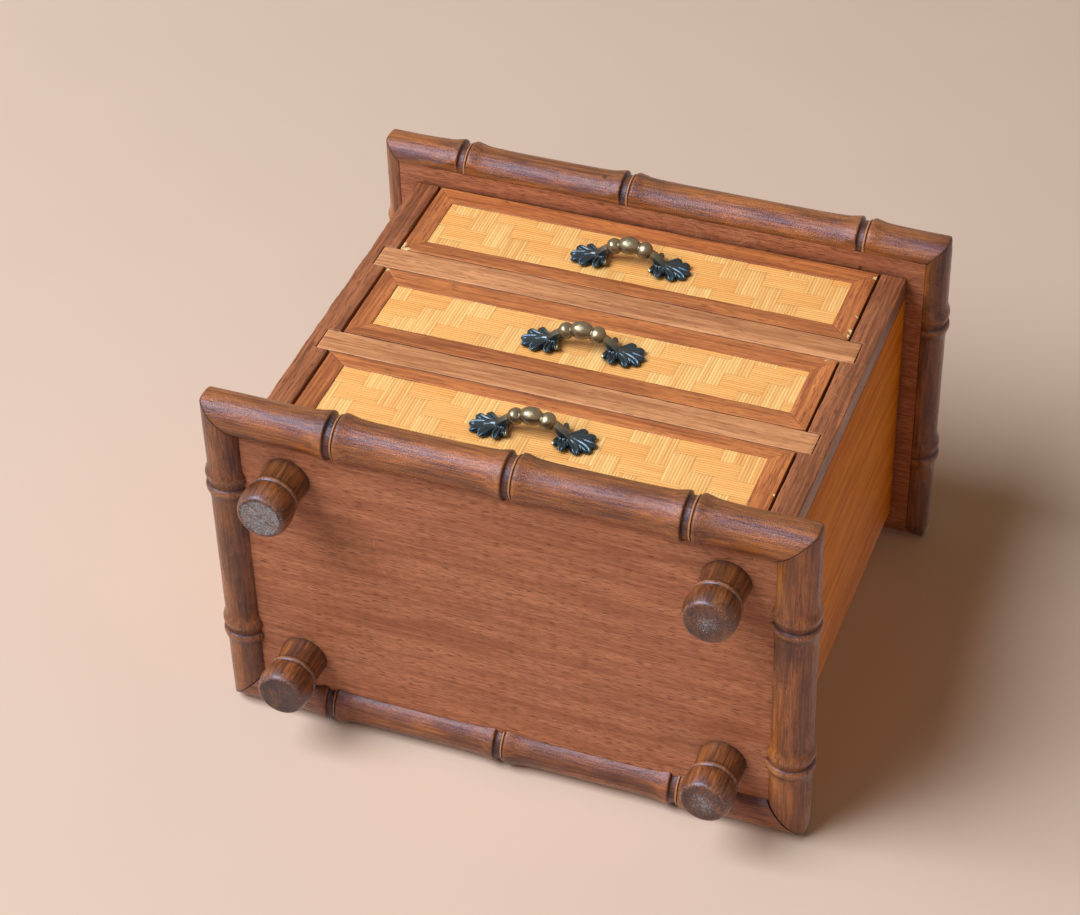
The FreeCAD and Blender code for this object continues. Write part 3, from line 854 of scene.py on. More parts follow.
CHIPPED_FACE_Y = -62.9
CHIPS = {
    "upper": (
        Chip(-95.6, 160.9, 1.6), Chip(-94.4, 160.3, 1.1), Chip(-96.3, 163.2, 1.2), Chip(96.9, 162.5, 1.7),
        Chip(96.9, 165.6, 1.1), Chip(97.0, 175.6, 1.3), Chip(97.0, 203.4, 0.9),
    ),
    "middle": (
        Chip(-96.3, 144.9, 1.1), Chip(93.5, 145.4, 1.0, 0.1),
    ),
    "bottom": (
        Chip(89.3, 51.5, 0.9, 0.1), Chip(97.0, 60.5, 0.8),
    ),
}


@dataclass
class Board:
    """A straight piece of wood with softened, worn edges. Its two ends may be mitred, and one side notched.

    The four corners lie on its show face: start and end of one long edge, then end and start of the other.
    """

    name: str
    corners: tuple[Vector, Vector, Vector, Vector]
    depth: Vector
    arris: float = 0.35
    wear: float = 0.12
    step: float = 2.0
    cell: float = 2.5
    notches: tuple[tuple[float, float, float], ...] = ()
    chips: tuple[Chip, ...] = ()
    tint: float = 0.0
    seed: int = 0

    def section(self, width: float, cut: float, spans: tuple[int, int]) -> list[tuple[float, float]]:
        """Outline across the board: how far from the first edge, and how far behind the show face.

        Args:
            width: The board's width here.
            cut: How far the outline is drawn in, at a rounded end.
            spans: How many stretches the width and the thickness are divided into.

        Returns:
            The outline's points.
        """
        thick, r = self.depth.length, max(self.arris - 0.6 * cut, 0.06)
        outline = []
        near, far, deep = cut + r, width - cut - r, thick - cut - r
        corners = ((near, near, 180), (far, near, 270), (far, deep, 0), (near, deep, 90))
        for i, (p, q, start) in enumerate(corners):
            for turn in (0, 30, 60, 90):
                angle = math.radians(start + turn)
                outline.append((p + r * math.cos(angle), q + r * math.sin(angle)))
            after = corners[(i + 1) % 4]
            from_p, from_q = outline[-1]
            count = spans[i % 2]
            for k in range(1, count):
                outline.append((from_p + (after[0] - p) * k / count, from_q + (after[1] - q) * k / count))
        return outline

    def stations(self, length: float) -> list[tuple[float, float]]:
        """Places along the board and how far the outline is drawn in at each.

        Args:
            length: The board's length.

        Returns:
            Pairs of place and draw.
        """
        r = self.arris
        marks = {k * length / round(length / self.step) for k in range(1, round(length / self.step))}
        for start, end, _depth in self.notches:
            marks |= {start, start + 0.02, end - 0.02, end}
        middle = sorted(m for m in marks if r * 1.2 < m < length - r * 1.2)
        near = [(0.0, r), (0.3 * r, 0.3 * r), (r, 0.0)]
        return near + [(m, 0.0) for m in middle] + [(length - s, c) for s, c in reversed(near)]

    def build(self) -> Shape:
        """Make the board's shape.

        Returns:
            The shape, with its grain along its length.
        """
        start, end, far_end, far_start = self.corners
        length, thick_way = (end - start).length, self.depth.normalized()
        rows = []
        full_width = ((far_start + far_end) / 2 - (start + end) / 2).length
        offset = Vector((self.seed * 37.0, self.seed * 11.0, self.seed * 5.0))
        shape = Shape()
        spans = tuple(max(1, round(size / self.cell)) for size in (full_width, self.depth.length))
        for s, cut in self.stations(length):
            share = s / length
            near, far = start.lerp(end, share), far_start.lerp(far_end, share)
            notch = max((d for a, b, d in self.notches if a + 0.01 < s < b - 0.01), default=0.0)
            outline = self.section(full_width - notch, cut, spans)
            row = []
            for p, q in outline:
                point = near.lerp(far, p / full_width) + thick_way * q
                row.append(self.worn(point, p, q, full_width - notch, thick_way, far - near))
                shape.note(Vector((s, p, q)) + offset, tint=self.tint)
            rows.append(row)
        shape.add_rows(rows)
        shape.values["bare"] = [self.bareness(point) for point in shape.points]
        return shape

    def worn(self, point: Vector, p: float, q: float, width: float, thick_way: Vector,
             across: Vector) -> Vector:
        """Draw a point in where its edge is worn or chipped.

        Args:
            point: The point.
            p: How far it is from the first edge.
            q: How far it is behind the show face.
            width: The board's width here.
            thick_way: The way from the show face into the board.
            across: The way from the first edge to the other.

        Returns:
            The moved point.
        """
        edge = max(0.0, 1.0 - min(p, width - p) / 1.2) * max(0.0, 1.0 - q / 1.2)
        if edge > 0 and self.wear:
            broad, fine = rough_value(point, 9.0, self.seed), rough_value(point, 2.4, self.seed + 9)
            rub = 0.45 + 0.8 * broad + 0.5 * fine
            inward = across.normalized() * (1 if p < width / 2 else -1) + thick_way
            point = point + inward * max(0.0, rub) * self.wear * edge
        for chip in self.chips:
            near = 1.0 - (point - chip.place).length / chip.radius
            if near > 0:
                point = point + thick_way * chip.depth * min(1.0, 2.5 * near)
        return point

    def bareness(self, point: Vector) -> float:
        """How far the finish is gone at a point.

        Args:
            point: The point.

        Returns:
            0 for whole, 1 for bare wood.
        """
        bare = 0.0
        for chip in self.chips:
            ragged = 0.35 * rough_value(point, 0.9, self.seed + 4)
            inside = 1.0 - (point - chip.place).length / chip.radius + ragged
            bare = max(bare, min(1.0, 4.0 * inside))
        return bare

    def dress(self, body: str, slot: str, maker: object, node: str) -> None:
        """Put the board on its body in place of a CAD node."""
        place_piece(self.build().mesh(self.name), self.name, body, maker, [node])


def face_corners(low: Vector, high: Vector, y: float) -> tuple[Vector, Vector, Vector, Vector]:
    """Corners of an upright face, from the lower left one and counter-clockwise as seen from the front.

    Args:
        low: Has the lowest X and Z.
        high: Has the highest X and Z.
        y: The face's Y.

    Returns:
        The four corners.
    """
    places = ((low.x, low.z), (high.x, low.z), (high.x, high.z), (low.x, high.z))
    return tuple(Vector((x, y, z)) for x, z in places)


def upright_board(name: str, low: Vector, high: Vector, **details: object) -> Board:
    """A board along X that shows its face towards -Y, from its lowest corner to its highest."""
    return Board(name, face_corners(low, high, low.y), Vector((0, high.y - low.y, 0)), **details)


# Mouldings


class NodeKind(Enum):
    """How a moulding's nodes are turned."""

    CUT = "a lip, a wide groove, a thin bead and a second lip"
    RINGED = "a swelling, a fine groove and a rounded ring"


# Steps of a turned node: place along the rod, rise above the waist, lip or groove, darkening by soiling with
# painted shade in the grooves, and rubbing.
RING_STEPS = (
    (-11.0, 0.0, 0.0, 0.0), (-9.0, 0.12, 0.0, 0.0), (-8.0, 0.3, 0.0, 0.0), (-7.0, 0.62, 0.0, 0.15),
    (-6.0, 0.98, 0.0, 0.3), (-5.0, 1.22, 0.0, 0.4), (-4.2, 1.25, 0.0, 0.4), (-3.4, 1.13, 0.0, 0.2),
    (-2.8, 0.95, 0.05, 0.0), (-2.4, 0.8, 0.1, 0.0), (-2.0, 0.6, 0.15, 0.0), (-1.2, 0.45, 0.2, 0.0),
    (-0.5, 0.35, 0.5, 0.0), (-0.2, 0.3, 0.95, 0.0), (0.0, 0.45, 0.9, 0.0), (0.3, 0.95, 0.2, 0.2),
    (0.8, 1.25, 0.0, 0.45), (1.5, 1.37, 0.0, 0.5), (2.3, 1.35, 0.0, 0.45), (3.0, 1.2, 0.0, 0.3),
    (3.6, 0.95, 0.15, 0.1), (4.0, 0.75, 0.4, 0.0), (4.3, 0.62, 0.5, 0.0), (5.5, 0.4, 0.15, 0.0),
    (7.0, 0.15, 0.0, 0.0), (8.5, 0.0, 0.0, 0.0),
)
FIRST_LIP_STEPS = (
    (-4.5, -0.08, 0.0, 0.15), (-3.9, -0.02, 0.0, 0.3), (-3.5, 0.0, 0.0, 0.4), (-3.2, -0.12, 0.1, 0.3),
    (-3.0, -0.4, 0.4, 0.1), (-2.85, -0.85, 0.7, 0.0), (-2.7, -1.25, 0.85, 0.0),
)
GROOVE_STEPS = (
    (-2.5, 0.08, 0.9, 0.0), (-2.1, 0.0, 0.85, 0.0), (-1.3, -0.02, 0.8, 0.0), (-0.6, 0.05, 0.85, 0.0),
    (-0.3, 0.15, 0.7, 0.1), (-0.12, 0.4, 0.2, 0.5), (0.05, 0.65, 0.0, 0.8), (0.3, 0.78, 0.0, 0.8),
    (0.6, 0.75, 0.1, 0.6), (0.78, 0.6, 0.6, 0.1), (0.92, 0.42, 1.0, 0.0), (1.05, 0.55, 0.8, 0.0),
    (1.2, 0.9, 0.3, 0.0),
)
SECOND_LIP_STEPS = (
    (1.45, -0.28, 0.0, 0.15), (1.75, -0.08, 0.0, 0.3), (2.1, 0.0, 0.0, 0.35), (2.6, -0.03, 0.0, 0.3),
    (3.1, -0.1, 0.0, 0.1),
)
FLARE = ((18.0, 1.4), (12.0, 1.3), (8.0, 1.15), (6.0, 1.03), (5.0, 0.92), (4.0, 0.75), (3.0, 0.5), (2.0, 0.3))


def raised(base: float, steps: Sequence[tuple[float, ...]]) -> tuple[tuple[float, ...], ...]:
    """A table of steps with radii in place of rises above a base."""
    return tuple((x, base + rise, dirt_and_shade, rub) for x, rise, dirt_and_shade, rub in steps)


@dataclass(frozen=True)
class RodProfile:
    """Radii of the turned rods, and how they are planed and fitted to their board."""

    waist: float = 8.65
    lip: float = 10.05
    flat: float = 8.4
    board: float = 12.5
    groove: float = 0.15
    rise_from: float = -3.5
    fall_from: float = 2.1
    mitre_reach: float = 11.0
    blunt_reach: float = 13.2
    blunt_share: float = 0.07

    def steps(self, kind: NodeKind) -> tuple[tuple[float, ...], ...]:
        """The turned steps of a node.

        Args:
            kind: How the node is turned.

        Returns:
            For each step, its place from the start of the bead or ring, its radius, its darkening by soiling
            and painted groove shade, and its rubbing.
        """
        if kind is NodeKind.RINGED:
            return raised(self.waist, RING_STEPS)
        rise = [(self.rise_from - far, -drop, 0.0, 0.0) for far, drop in FLARE]
        fall = [(self.fall_from + far, -drop, 0.0, 0.0) for far, drop in reversed(FLARE)]
        return (*raised(self.lip, (*rise, *FIRST_LIP_STEPS)), *raised(self.waist - self.groove, GROOVE_STEPS),
                *raised(self.lip, (*SECOND_LIP_STEPS, *fall)))


@dataclass
class BambooRod:
    """One mitred length of moulding: turned with nodes, planed at its back and rebated over its board."""

    name: str
    half: float
    nodes: tuple[float, ...]
    kind: NodeKind
    place: Callable[[float, float, float], Vector]
    gaps: tuple[float, float]
    tint: float
    seed: int
    profile: RodProfile = RodProfile()
    arc_points: int = 60
    row_spacing: float = 2.6

    def __post_init__(self) -> None:
        """Work out the steps of its nodes."""
        self.steps = self.profile.steps(self.kind)

    def at_node(self, x: float, column: int) -> float | None:
        """A value of the node that x lies on.

        Args:
            x: Place along the rod.
            column: Which of a step's values is read.

        Returns:
            The value, or None between nodes.
        """
        for node in self.nodes:
            if node + self.steps[0][0] <= x <= node + self.steps[-1][0]:
                return float(np.interp(x - node, [s[0] for s in self.steps], [s[column] for s in self.steps]))
        return None

    def radius(self, x: float) -> float:
        """Radius of the rod at a place along it."""
        here = self.at_node(x, 1)
        return self.profile.waist if here is None else here

    def outline(self, r: float) -> list[tuple[float, float]]:
        """Section of the rod, as places out from the chest and up from the axis.

        Args:
            r: Radius of the rod here.

        Returns:
            The section's points.
        """
        shape = self.profile
        flat_edge = math.sqrt(max(r * r - shape.flat**2, 0.01))
        ledge = shape.board - shape.flat
        start = math.asin(min(1.0, shape.flat / r)) - 0.035
        end = math.asin(ledge / r) - math.pi + 0.02
        section = [(0.0, shape.flat - 0.35), (0.18, shape.flat - 0.04), (0.5, shape.flat)]
        section += [(0.5 + (flat_edge - 1.0) * k / 3, shape.flat) for k in (1, 2)]
        section.append((flat_edge - 0.3, shape.flat - 0.02))
        for k in range(self.arc_points + 1):
            angle = start + (end - start) * k / self.arc_points
            section.append((r * math.cos(angle), r * math.sin(angle)))
        inner = -math.sqrt(r * r - ledge**2)
        section += [(inner + 0.35, -ledge), (inner / 2, -ledge), (0.0, -ledge)]
        return section

    def stations(self) -> list[float]:
        """Places along the rod, close together at the nodes.

        Returns:
            The places.
        """
        limit = self.half - self.profile.mitre_reach
        turned = [node + step[0] for node in self.nodes for step in self.steps]
        turned = [x for x in turned if abs(x) < limit - 0.5]
        count = round(2 * limit / self.row_spacing)
        even = [limit * (2 * k / count - 1) for k in range(count + 1)]
        clear = [x for x in even if abs(x) > limit - 0.01 or all(abs(x - t) > 0.8 for t in turned)]
        return sorted((*turned, *clear))

    def end_row(self, side: int, share: float, last: float, draw: float) -> list[tuple[float, float, float]]:
        """Points of one row between the last whole section and the mitre.

        Args:
            side: -1 for the start of the rod, 1 for its end.
            share: How far along the stretch to the mitre the row lies.
            last: Place of the last whole section.
            draw: How much smaller the row is, for a softened mitre.

        Returns:
            Points as place along the rod, out and up.
        """
        row = []
        gap = self.gaps[0 if side < 0 else 1]
        for k in range(len(self.outline(self.profile.waist))):
            x = side * self.half
            out = up = 0.0
            for _ in range(4):
                out, up = self.outline(self.radius(x) - draw)[k]
                x = last + share * (side * (self.half + out - gap) - last)
            row.append((x, out, up))
        return row

    def blunted(self, x: float, out: float) -> tuple[float, float]:
        """Draw the sharp outer corner of the mitre in, as wear has done.

        Args:
            x: Place along the rod.
            out: How far the point stands out from the axis.

        Returns:
            The new place and how far out it now is.
        """
        past = abs(x) - self.half
        excess = past + out - self.profile.blunt_reach
        if past <= 0 or excess <= 0:
            return x, out
        draw = self.profile.blunt_share * excess**2
        return math.copysign(abs(x) - draw, x), out - draw

    def build(self) -> Shape:
        """Make the rod's shape.

        Returns:
            The shape, with its grain along the rod.
        """
        places = self.stations()
        mitre = ((1.0, 0.16, 1.0), (0.985, 0.03, 0.7), (0.94, 0.0, 0.15), (0.7, 0.0, 0.0), (0.35, 0.0, 0.0))
        # Mitre rows darken at the joint; node steps add soiling with painted shade in the grooves.
        rows = [(self.end_row(-1, s, places[0], d), dirt_and_shade, 0.0) for s, d, dirt_and_shade in mitre]
        for x in places:
            section = [(x, out, up) for out, up in self.outline(self.radius(x))]
            rows.append((section, self.at_node(x, 2) or 0.0, self.at_node(x, 3) or 0.0))
        rows += [(self.end_row(1, s, places[-1], d), dirt_and_shade, 0.0) for s, d, dirt_and_shade in reversed(mitre)]
        offset = Vector((self.seed * 173.0, self.seed * 19.0, self.seed * 7.0))
        shape = Shape()
        skin = []
        for row, dirt_and_shade, rub in rows:
            line = []
            for x, out, up in row:
                local = Vector((x, out, up))
                cloud = rough_value(Vector((x, out * 3, up * 3)), 22.0, self.seed + 5)
                soil = 0.85 + 0.5 * rough_value(local, 5.0, self.seed + 6)
                shape.note(local + offset, tint=self.tint + 0.22 * cloud, stain=dirt_and_shade * soil, rubbed=rub)
                reach = math.hypot(out, up)
                if up < self.profile.flat - 0.05 and reach > self.profile.waist - 0.6:
                    long, short = rough_value(local, 14.0, self.seed), rough_value(local, 4.0, self.seed + 3)
                    swell = 1 + (0.09 * long + 0.04 * short - 0.08) / reach
                    out, up = out * swell, up * swell
                x, out = self.blunted(x, out)
                line.append(self.place(x, out, up))
            skin.append(line)
        shape.add_rows(skin)
        return shape


@dataclass
class MouldingRing:
    """Four mitred rods round the edge of the base board or the top board."""

    level: str
    axis_z: float
    up: int
    node_places: dict[str, tuple[float, ...]]
    half_x: float = 116.2
    half_y: float = 71.4
    close_mitres: tuple[float, float] = (0.06, 0.06)
    gaps: dict[str, tuple[float, float]] = field(default_factory=dict)
    tints: dict[str, float] = field(default_factory=dict)
    first_seed: int = 1

    def placer(self, side: str) -> Callable[[float, float, float], Vector]:
        """How a rod's own measures become a place in the model.

        Args:
            side: front, back, left or right.

        Returns:
            A function of place along, out and up.
        """
        z, up = self.axis_z, self.up
        return {
            "front": lambda x, out, rise: Vector((x, -self.half_y - out, z + up * rise)),
            "back": lambda x, out, rise: Vector((x, self.half_y + out, z + up * rise)),
            "left": lambda x, out, rise: Vector((-self.half_x - out, x, z + up * rise)),
            "right": lambda x, out, rise: Vector((self.half_x + out, x, z + up * rise)),
        }[side]

    def build(self) -> None:
        """Make and dress all four rods."""
        for number, (side, nodes) in enumerate(self.node_places.items()):
            along_x = side in ("front", "back")
            rod = BambooRod(
                name=f"moulding_{self.level}_{side}_rod",
                half=self.half_x if along_x else self.half_y,
                nodes=nodes,
                kind=NodeKind.CUT if along_x else NodeKind.RINGED,
                place=self.placer(side),
                gaps=self.gaps.get(side, self.close_mitres),
                tint=self.tints.get(side, 0.0),
                seed=self.first_seed + number,
            )
            mesh = rod.build().mesh(rod.name, sharp_angle=50.0)
            place_piece(mesh, rod.name, CARCASS, MOULDING, [f"moulding_{self.level}_{side}"])


# Feet


@dataclass
class TurnedFoot:
    """A turned foot: scuffed flat end, barrel, thin bead between grooves, and a plain neck."""

    corner: str
    scuff: float = 0.5
    scuff_at_middle: float = 0.0
    dirt_and_shade: float = 0.6
    end_r: float = 8.7
    barrel_r: float = 10.95
    bead_r: float = 10.35
    neck_r: float = 9.85
    bead_z: float = 12.6
    turns: int = 96
    seed: int = 0

    def outline(self, height: float) -> list[tuple[float, float, float, float, float]]:
        """The foot's turned steps, from the middle of its end up.

        Args:
            height: The foot's height.

        Returns:
            For each step, its radius, height, darkening by soiling and painted shade, rubbing and how far its
            finish is scuffed off.
        """
        z, barrel, bead, neck = self.bead_z, self.barrel_r, self.bead_r, self.neck_r
        end = self.end_r
        points = []
        for share in (0.05, 0.18, 0.3, 0.42, 0.54, 0.66, 0.78, 0.9):
            dip = 0.12 * (1 - share)
            scuff = self.scuff + self.scuff_at_middle * (1 - share)
            points.append((end * share, dip, self.dirt_and_shade, 0.0, scuff))
        rim = ((-0.25, 0.0, 0.3), (0.3, 0.1, 0.4), (0.75, 0.38, 0.45), (1.1, 0.8, 0.4), (1.4, 1.35, 0.25),
               (1.6, 2.0, 0.1))
        points += [(end + out, up, self.dirt_and_shade * (1 - up / 2), rub, self.scuff * (0.6 - up))
                   for out, up, rub in rim]
        points += [(barrel - draw, up, 0.05, 0.1, 0.0) for draw, up in (
            (0.4, 2.8), (0.2, 3.8), (0.06, 5.0), (0.0, 6.3), (0.06, 7.6), (0.2, 8.8), (0.45, 9.8),
            (0.65, 10.4))]
        # The bead's grooves and the neck's top under the board darken: soiling with painted shade.
        points += [(bead - draw, z + up, dirt_and_shade, rub, 0.0) for draw, up, dirt_and_shade, rub in (
            (0.2, -1.75, 0.3, 0.0), (0.42, -1.5, 0.8, 0.0), (0.55, -1.3, 0.95, 0.0), (0.45, -1.1, 0.7, 0.0),
            (0.22, -0.85, 0.1, 0.35), (0.06, -0.5, 0.0, 0.5), (0.0, -0.1, 0.0, 0.5), (0.04, 0.35, 0.0, 0.5),
            (0.18, 0.7, 0.0, 0.35), (0.42, 1.0, 0.3, 0.1), (0.75, 1.25, 0.85, 0.0), (0.9, 1.5, 0.9, 0.0),
            (0.88, 1.9, 0.5, 0.0), (0.85, 2.6, 0.15, 0.05), (0.85, 3.6, 0.1, 0.1))]
        points += [(neck - 0.35, z + 6.0, 0.1, 0.1, 0.0), (neck - 0.15, z + 9.5, 0.15, 0.1, 0.0),
                   (neck, height - 0.15, 0.7, 0.0, 0.0)]
        return points

    def build(self) -> None:
        """Make and dress the foot."""
        low, high = node_box(f"foot_{self.corner}")
        middle = (low + high) / 2
        shape = Shape()
        rows = []
        for r, z, dirt_and_shade, rub, scuff in self.outline(high.z - low.z):
            row = []
            for k in range(self.turns):
                angle = 2 * math.pi * k / self.turns
                local = Vector((r * math.cos(angle), r * math.sin(angle), z))
                swell = 0.06 * rough_value(local, 6.0, self.seed) if z > 0.3 else 0.0
                wide = 1 + (swell - 0.04) / max(r, 1.0)
                row.append(Vector((middle.x + local.x * wide, middle.y + local.y * wide, low.z + z)))
                cloud, soil, shade = (rough_value(local, size, self.seed + number)
                                      for number, size in ((1, 2.6), (2, 4.0), (3, 8.0)))
                shape.note(Vector((z, local.x, local.y)) + Vector((self.seed * 31.0, 0, 0)),
                           bare=max(0.0, min(0.85, scuff + 0.16 * cloud)) if scuff > 0 else 0.0,
                           stain=min(1.0, dirt_and_shade * (0.9 + 0.5 * soil)), rubbed=rub, tint=0.3 * shade)
            rows.append(row)
        shape.add_rows(rows)
        mesh = shape.mesh(f"foot_{self.corner}_turning", sharp_angle=60.0)
        place_piece(mesh, mesh.name, CARCASS, FOOT, [f"foot_{self.corner}"])


# Carcass


@dataclass
class Carcass:
    """Boards, panels, stiles and rails that stay still."""

    rail_lap: float = 5.4
    arris: float = 0.5
    panel_edge: float = 0.3

    def stile(self, side: str) -> None:
        """Make the dark lipping on one side panel's front edge, notched for both rails.

        Args:
            side: left or right.
        """
        low, high = node_box(f"stile_{side}")
        notches = []
        for rail in ("rail_lower", "rail_upper"):
            rail_low, rail_high = node_box(rail)
            notches.append((rail_low.z - low.z, rail_high.z - low.z, self.rail_lap))
        outer, inner = (low.x, high.x) if side == "left" else (high.x, low.x)
        places = ((outer, low.z), (outer, high.z), (inner, high.z), (inner, low.z))
        corners = tuple(Vector((x, low.y, z)) for x, z in places)
        strip = Board(f"stile_{side}_strip", corners, Vector((0, high.y - low.y, 0)), arris=self.arris,
                      wear=0.35, step=1.6, notches=tuple(notches), seed=3 if side == "left" else 4)
        strip.dress(CARCASS, "stile_wood", STILE, f"stile_{side}")

    def rail(self, name: str, seed: int) -> None:
        """Make one rail across the front.

        Args:
            name: The rail's node.
            seed: Its grain's seed.
        """
        low, high = node_box(name)
        slack = Vector((0.12, 0, 0.05))
        strip = upright_board(f"{name}_strip", low + slack, high - slack, arris=0.4, wear=0.18, seed=seed)
        strip.dress(CARCASS, "stile_wood", RAIL, name)

    def build(self) -> None:
        """Make and dress the carcass."""
        for side in ("left", "right"):
            self.stile(side)
            dress_node(f"side_panel_{side}", VENEER, self.panel_edge)
        for seed, rail in enumerate(("rail_upper", "rail_lower", "rail_bottom"), start=5):
            self.rail(rail, seed)
        for node, maker in (("base_board", BOARD), ("top_board", BOARD), ("back_panel", PLYWOOD)):
            dress_node(node, maker, self.panel_edge)
        for node in ("shelf_upper", "shelf_lower", "shelf_bottom", "drawer_stops"):
            dress_node(node, SHELFWOOD, self.panel_edge)
        for node in ("foot_dowels", "carcass_dowels"):
            dress_node(node, PEG, 0.0)
        dress_node("back_panel_pins", Steel(), 0.0)


# Drawers


@dataclass
class Weave:
    """Bands of straw woven over two and under two, each row one band on from the row above."""

    level: str
    anchor: tuple[float, float]
    shift: int
    slope: float
    pitch_x: float = 9.2
    pitch_z: float = 9.0
    straws: int = 7
    crown: float = 0.11
    dip: float = 0.16
    tuck: float = 0.2
    cover: float = 0.97
    seed: int = 0

    def straw(self, shape: Shape, start: tuple[float, float], end: tuple[float, float], width: float,
              face_y: float, tone: float, seam: float, across: float, number: int) -> None:
        """Add one straw: a thin crowned strip whose ends go under the next bands.

        Args:
            shape: The shape to add to.
            start: X and Z of one end.
            end: X and Z of the other.
            width: The straw's width.
            face_y: Y of its highest line.
            tone: How deep its colour is.
            seam: How dark the line beside it is; its ends also darken, as painted shade where it goes under the
                crossing band.
            across: 1 for a straw that lies along X, 0 for one that stands; lying straws get a painted sheen
                colour.
            number: Tells its grain from its neighbours'.
        """
        way = Vector((end[0] - start[0], 0, end[1] - start[1]))
        length = way.length
        way.normalize()
        side = Vector((way.z, 0, -way.x))
        rows = []
        for share in (0.0, 0.035, 0.12, 0.5, 0.88, 0.965, 1.0):
            low = self.dip * max(0.0, 1 - min(share, 1 - share) / 0.12) ** 2
            middle = Vector((start[0], face_y + low, start[1])) + way * length * share
            row = []
            for place, drop in ((-0.5, 1.0), (-0.36, 0.3), (0.0, 0.0), (0.36, 0.3), (0.5, 1.0)):
                row.append(middle + side * place * width + Vector((0, self.crown * drop, 0)))
                # Painted shade: the straw darkens towards its ends, where it goes under the crossing band.
                painted_tuck_shade = 0.7 * max(0.0, 1 - min(share, 1 - share) / 0.04)
                run = Vector((length * share, place * width, 0)) + Vector((number * 13.0, number * 3.7, 0))
                shape.note(run, tone=tone, level=across, seam=min(1.0, seam * (place == 0.5) + painted_tuck_shade))
            rows.append(row)
        shape.add_rows(rows, ends=False, looped=False)

    def build(self) -> None:
        """Weave and dress one drawer's inlay."""
        low, high = node_box(drawer(self.level, "inlay"))
        draw = random.Random(self.seed)
        shape = Shape()
        left_cells = math.ceil((self.anchor[0] - low.x) / self.pitch_x) + 2
        right_cells = math.ceil((high.x - self.anchor[0]) / self.pitch_x) + 2
        up_cells = math.ceil((high.z - self.anchor[1]) / self.pitch_z) + 2
        down_cells = math.ceil((self.anchor[1] - low.z) / self.pitch_z) + 3
        xs = {k: self.anchor[0] + k * self.pitch_x + draw.uniform(-0.25, 0.25)
              for k in range(-left_cells, right_cells + 1)}
        zs = {k: self.anchor[1] - k * self.pitch_z + draw.uniform(-0.2, 0.2)
              for k in range(-up_cells, down_cells + 1)}
        tilt = math.tan(math.radians(self.slope))
        number = 0

        def lies(column: int, row: int) -> bool:
            """Whether the band along X is on top in this cell."""
            return (column - self.shift * row) % 4 < 2

        def slant(x: float, z: float) -> tuple[float, float]:
            """A place on the weave, turned by its small slope."""
            return x - (z - self.anchor[1]) * tilt, z + (x - self.anchor[0]) * tilt

        for row in range(-up_cells, down_cells):
            for column in range(-left_cells, right_cells - 1):
                if lies(column, row) and not lies(column - 1, row):
                    width = (zs[row] - zs[row + 1]) / self.straws
                    # Lying bands are drawn deeper on average, part of the painted sheen difference.
                    base = draw.uniform(-0.05, 0.3)
                    for k in range(self.straws):
                        z = zs[row] - (k + 0.5) * width
                        number += 1
                        start, end = slant(xs[column] - self.tuck, z), slant(xs[column + 2] + self.tuck, z)
                        self.straw(shape, start, end, width * self.cover, low.y,
                                   base + draw.uniform(-0.12, 0.22), draw.random() ** 2, 1.0, number)
                if not lies(column, row) and lies(column, row - 1):
                    width = (xs[column + 1] - xs[column]) / self.straws
                    base = draw.uniform(-0.1, 0.16)
                    bottom = min(row + 2, down_cells)
                    for k in range(self.straws):
                        x = xs[column] + (k + 0.5) * width
                        number += 1
                        start, end = slant(x, zs[row] + self.tuck), slant(x, zs[bottom] - self.tuck)
                        self.straw(shape, start, end, width * self.cover, low.y,
                                   base + draw.uniform(-0.12, 0.2), draw.random() ** 2, 0.0, number)
        mesh = shape.mesh(drawer(self.level, "weave"), sharp_angle=80.0)
        self.trim(mesh, low, high)
        place_piece(mesh, mesh.name, drawer(self.level), Straw())
        self.ground(low, high)

    def trim(self, mesh: bpy.types.Mesh, low: Vector, high: Vector) -> None:
        """Cut the weave to the inlay's outline and turn its skin outwards.

        Args:
            mesh: The weave.
            low: The inlay's lowest corner.
            high: Its highest corner.
        """
        worked = bmesh.new()
        worked.from_mesh(mesh)
        edges = ((low, (-1, 0, 0)), (high, (1, 0, 0)), (low, (0, 0, -1)), (high, (0, 0, 1)))
        for corner, way in edges:
            parts = [*worked.verts, *worked.edges, *worked.faces]
            bmesh.ops.bisect_plane(worked, geom=parts, plane_co=corner * MM, plane_no=way, clear_outer=True)
        for face in worked.faces:
            if face.normal.y > 0:
                face.normal_flip()
        worked.to_mesh(mesh)
        worked.free()

    def ground(self, low: Vector, high: Vector) -> None:
        """Make the thin ground under the straws.

        Args:
            low: The inlay's lowest corner.
            high: Its highest corner.
        """
        sunk = Vector((0, self.crown + self.dip + 0.02, 0))
        name = drawer(self.level, "weave_ground")
        slab = upright_board(name, low + sunk, high, arris=0.1, wear=0.0, step=8.0)
        slab.dress(drawer(self.level), "parquetry", GROUND, drawer(self.level, "inlay"))


@dataclass
class FrameStrips:
    """Four mitred strips round a drawer's inlay, each with its own shade."""

    level: str
    seed: int = 0
    tints: dict[str, float] = field(
        default_factory=lambda: {"lower": -0.06, "right": 0.08, "upper": 0.02, "left": -0.04})

    def build(self) -> None:
        """Make and dress the strips."""
        node = drawer(self.level, "frame")
        low, high = node_box(node)
        depth = Vector((0, high.y - low.y, 0))
        outer = face_corners(low, high, low.y)
        inner = face_corners(*node_box(drawer(self.level, "inlay")), low.y)
        for number, (side, tint) in enumerate(self.tints.items()):
            after = (number + 1) % 4
            corners = (outer[number], outer[after], inner[after], inner[number])
            strip = Board(f"{node}_{side}", corners, depth, arris=0.22, wear=0.14, step=1.2,
                          chips=CHIPS[self.level], tint=tint, seed=self.seed * 4 + number + 20)
            strip.dress(drawer(self.level), "frame_wood", FRAME, node)


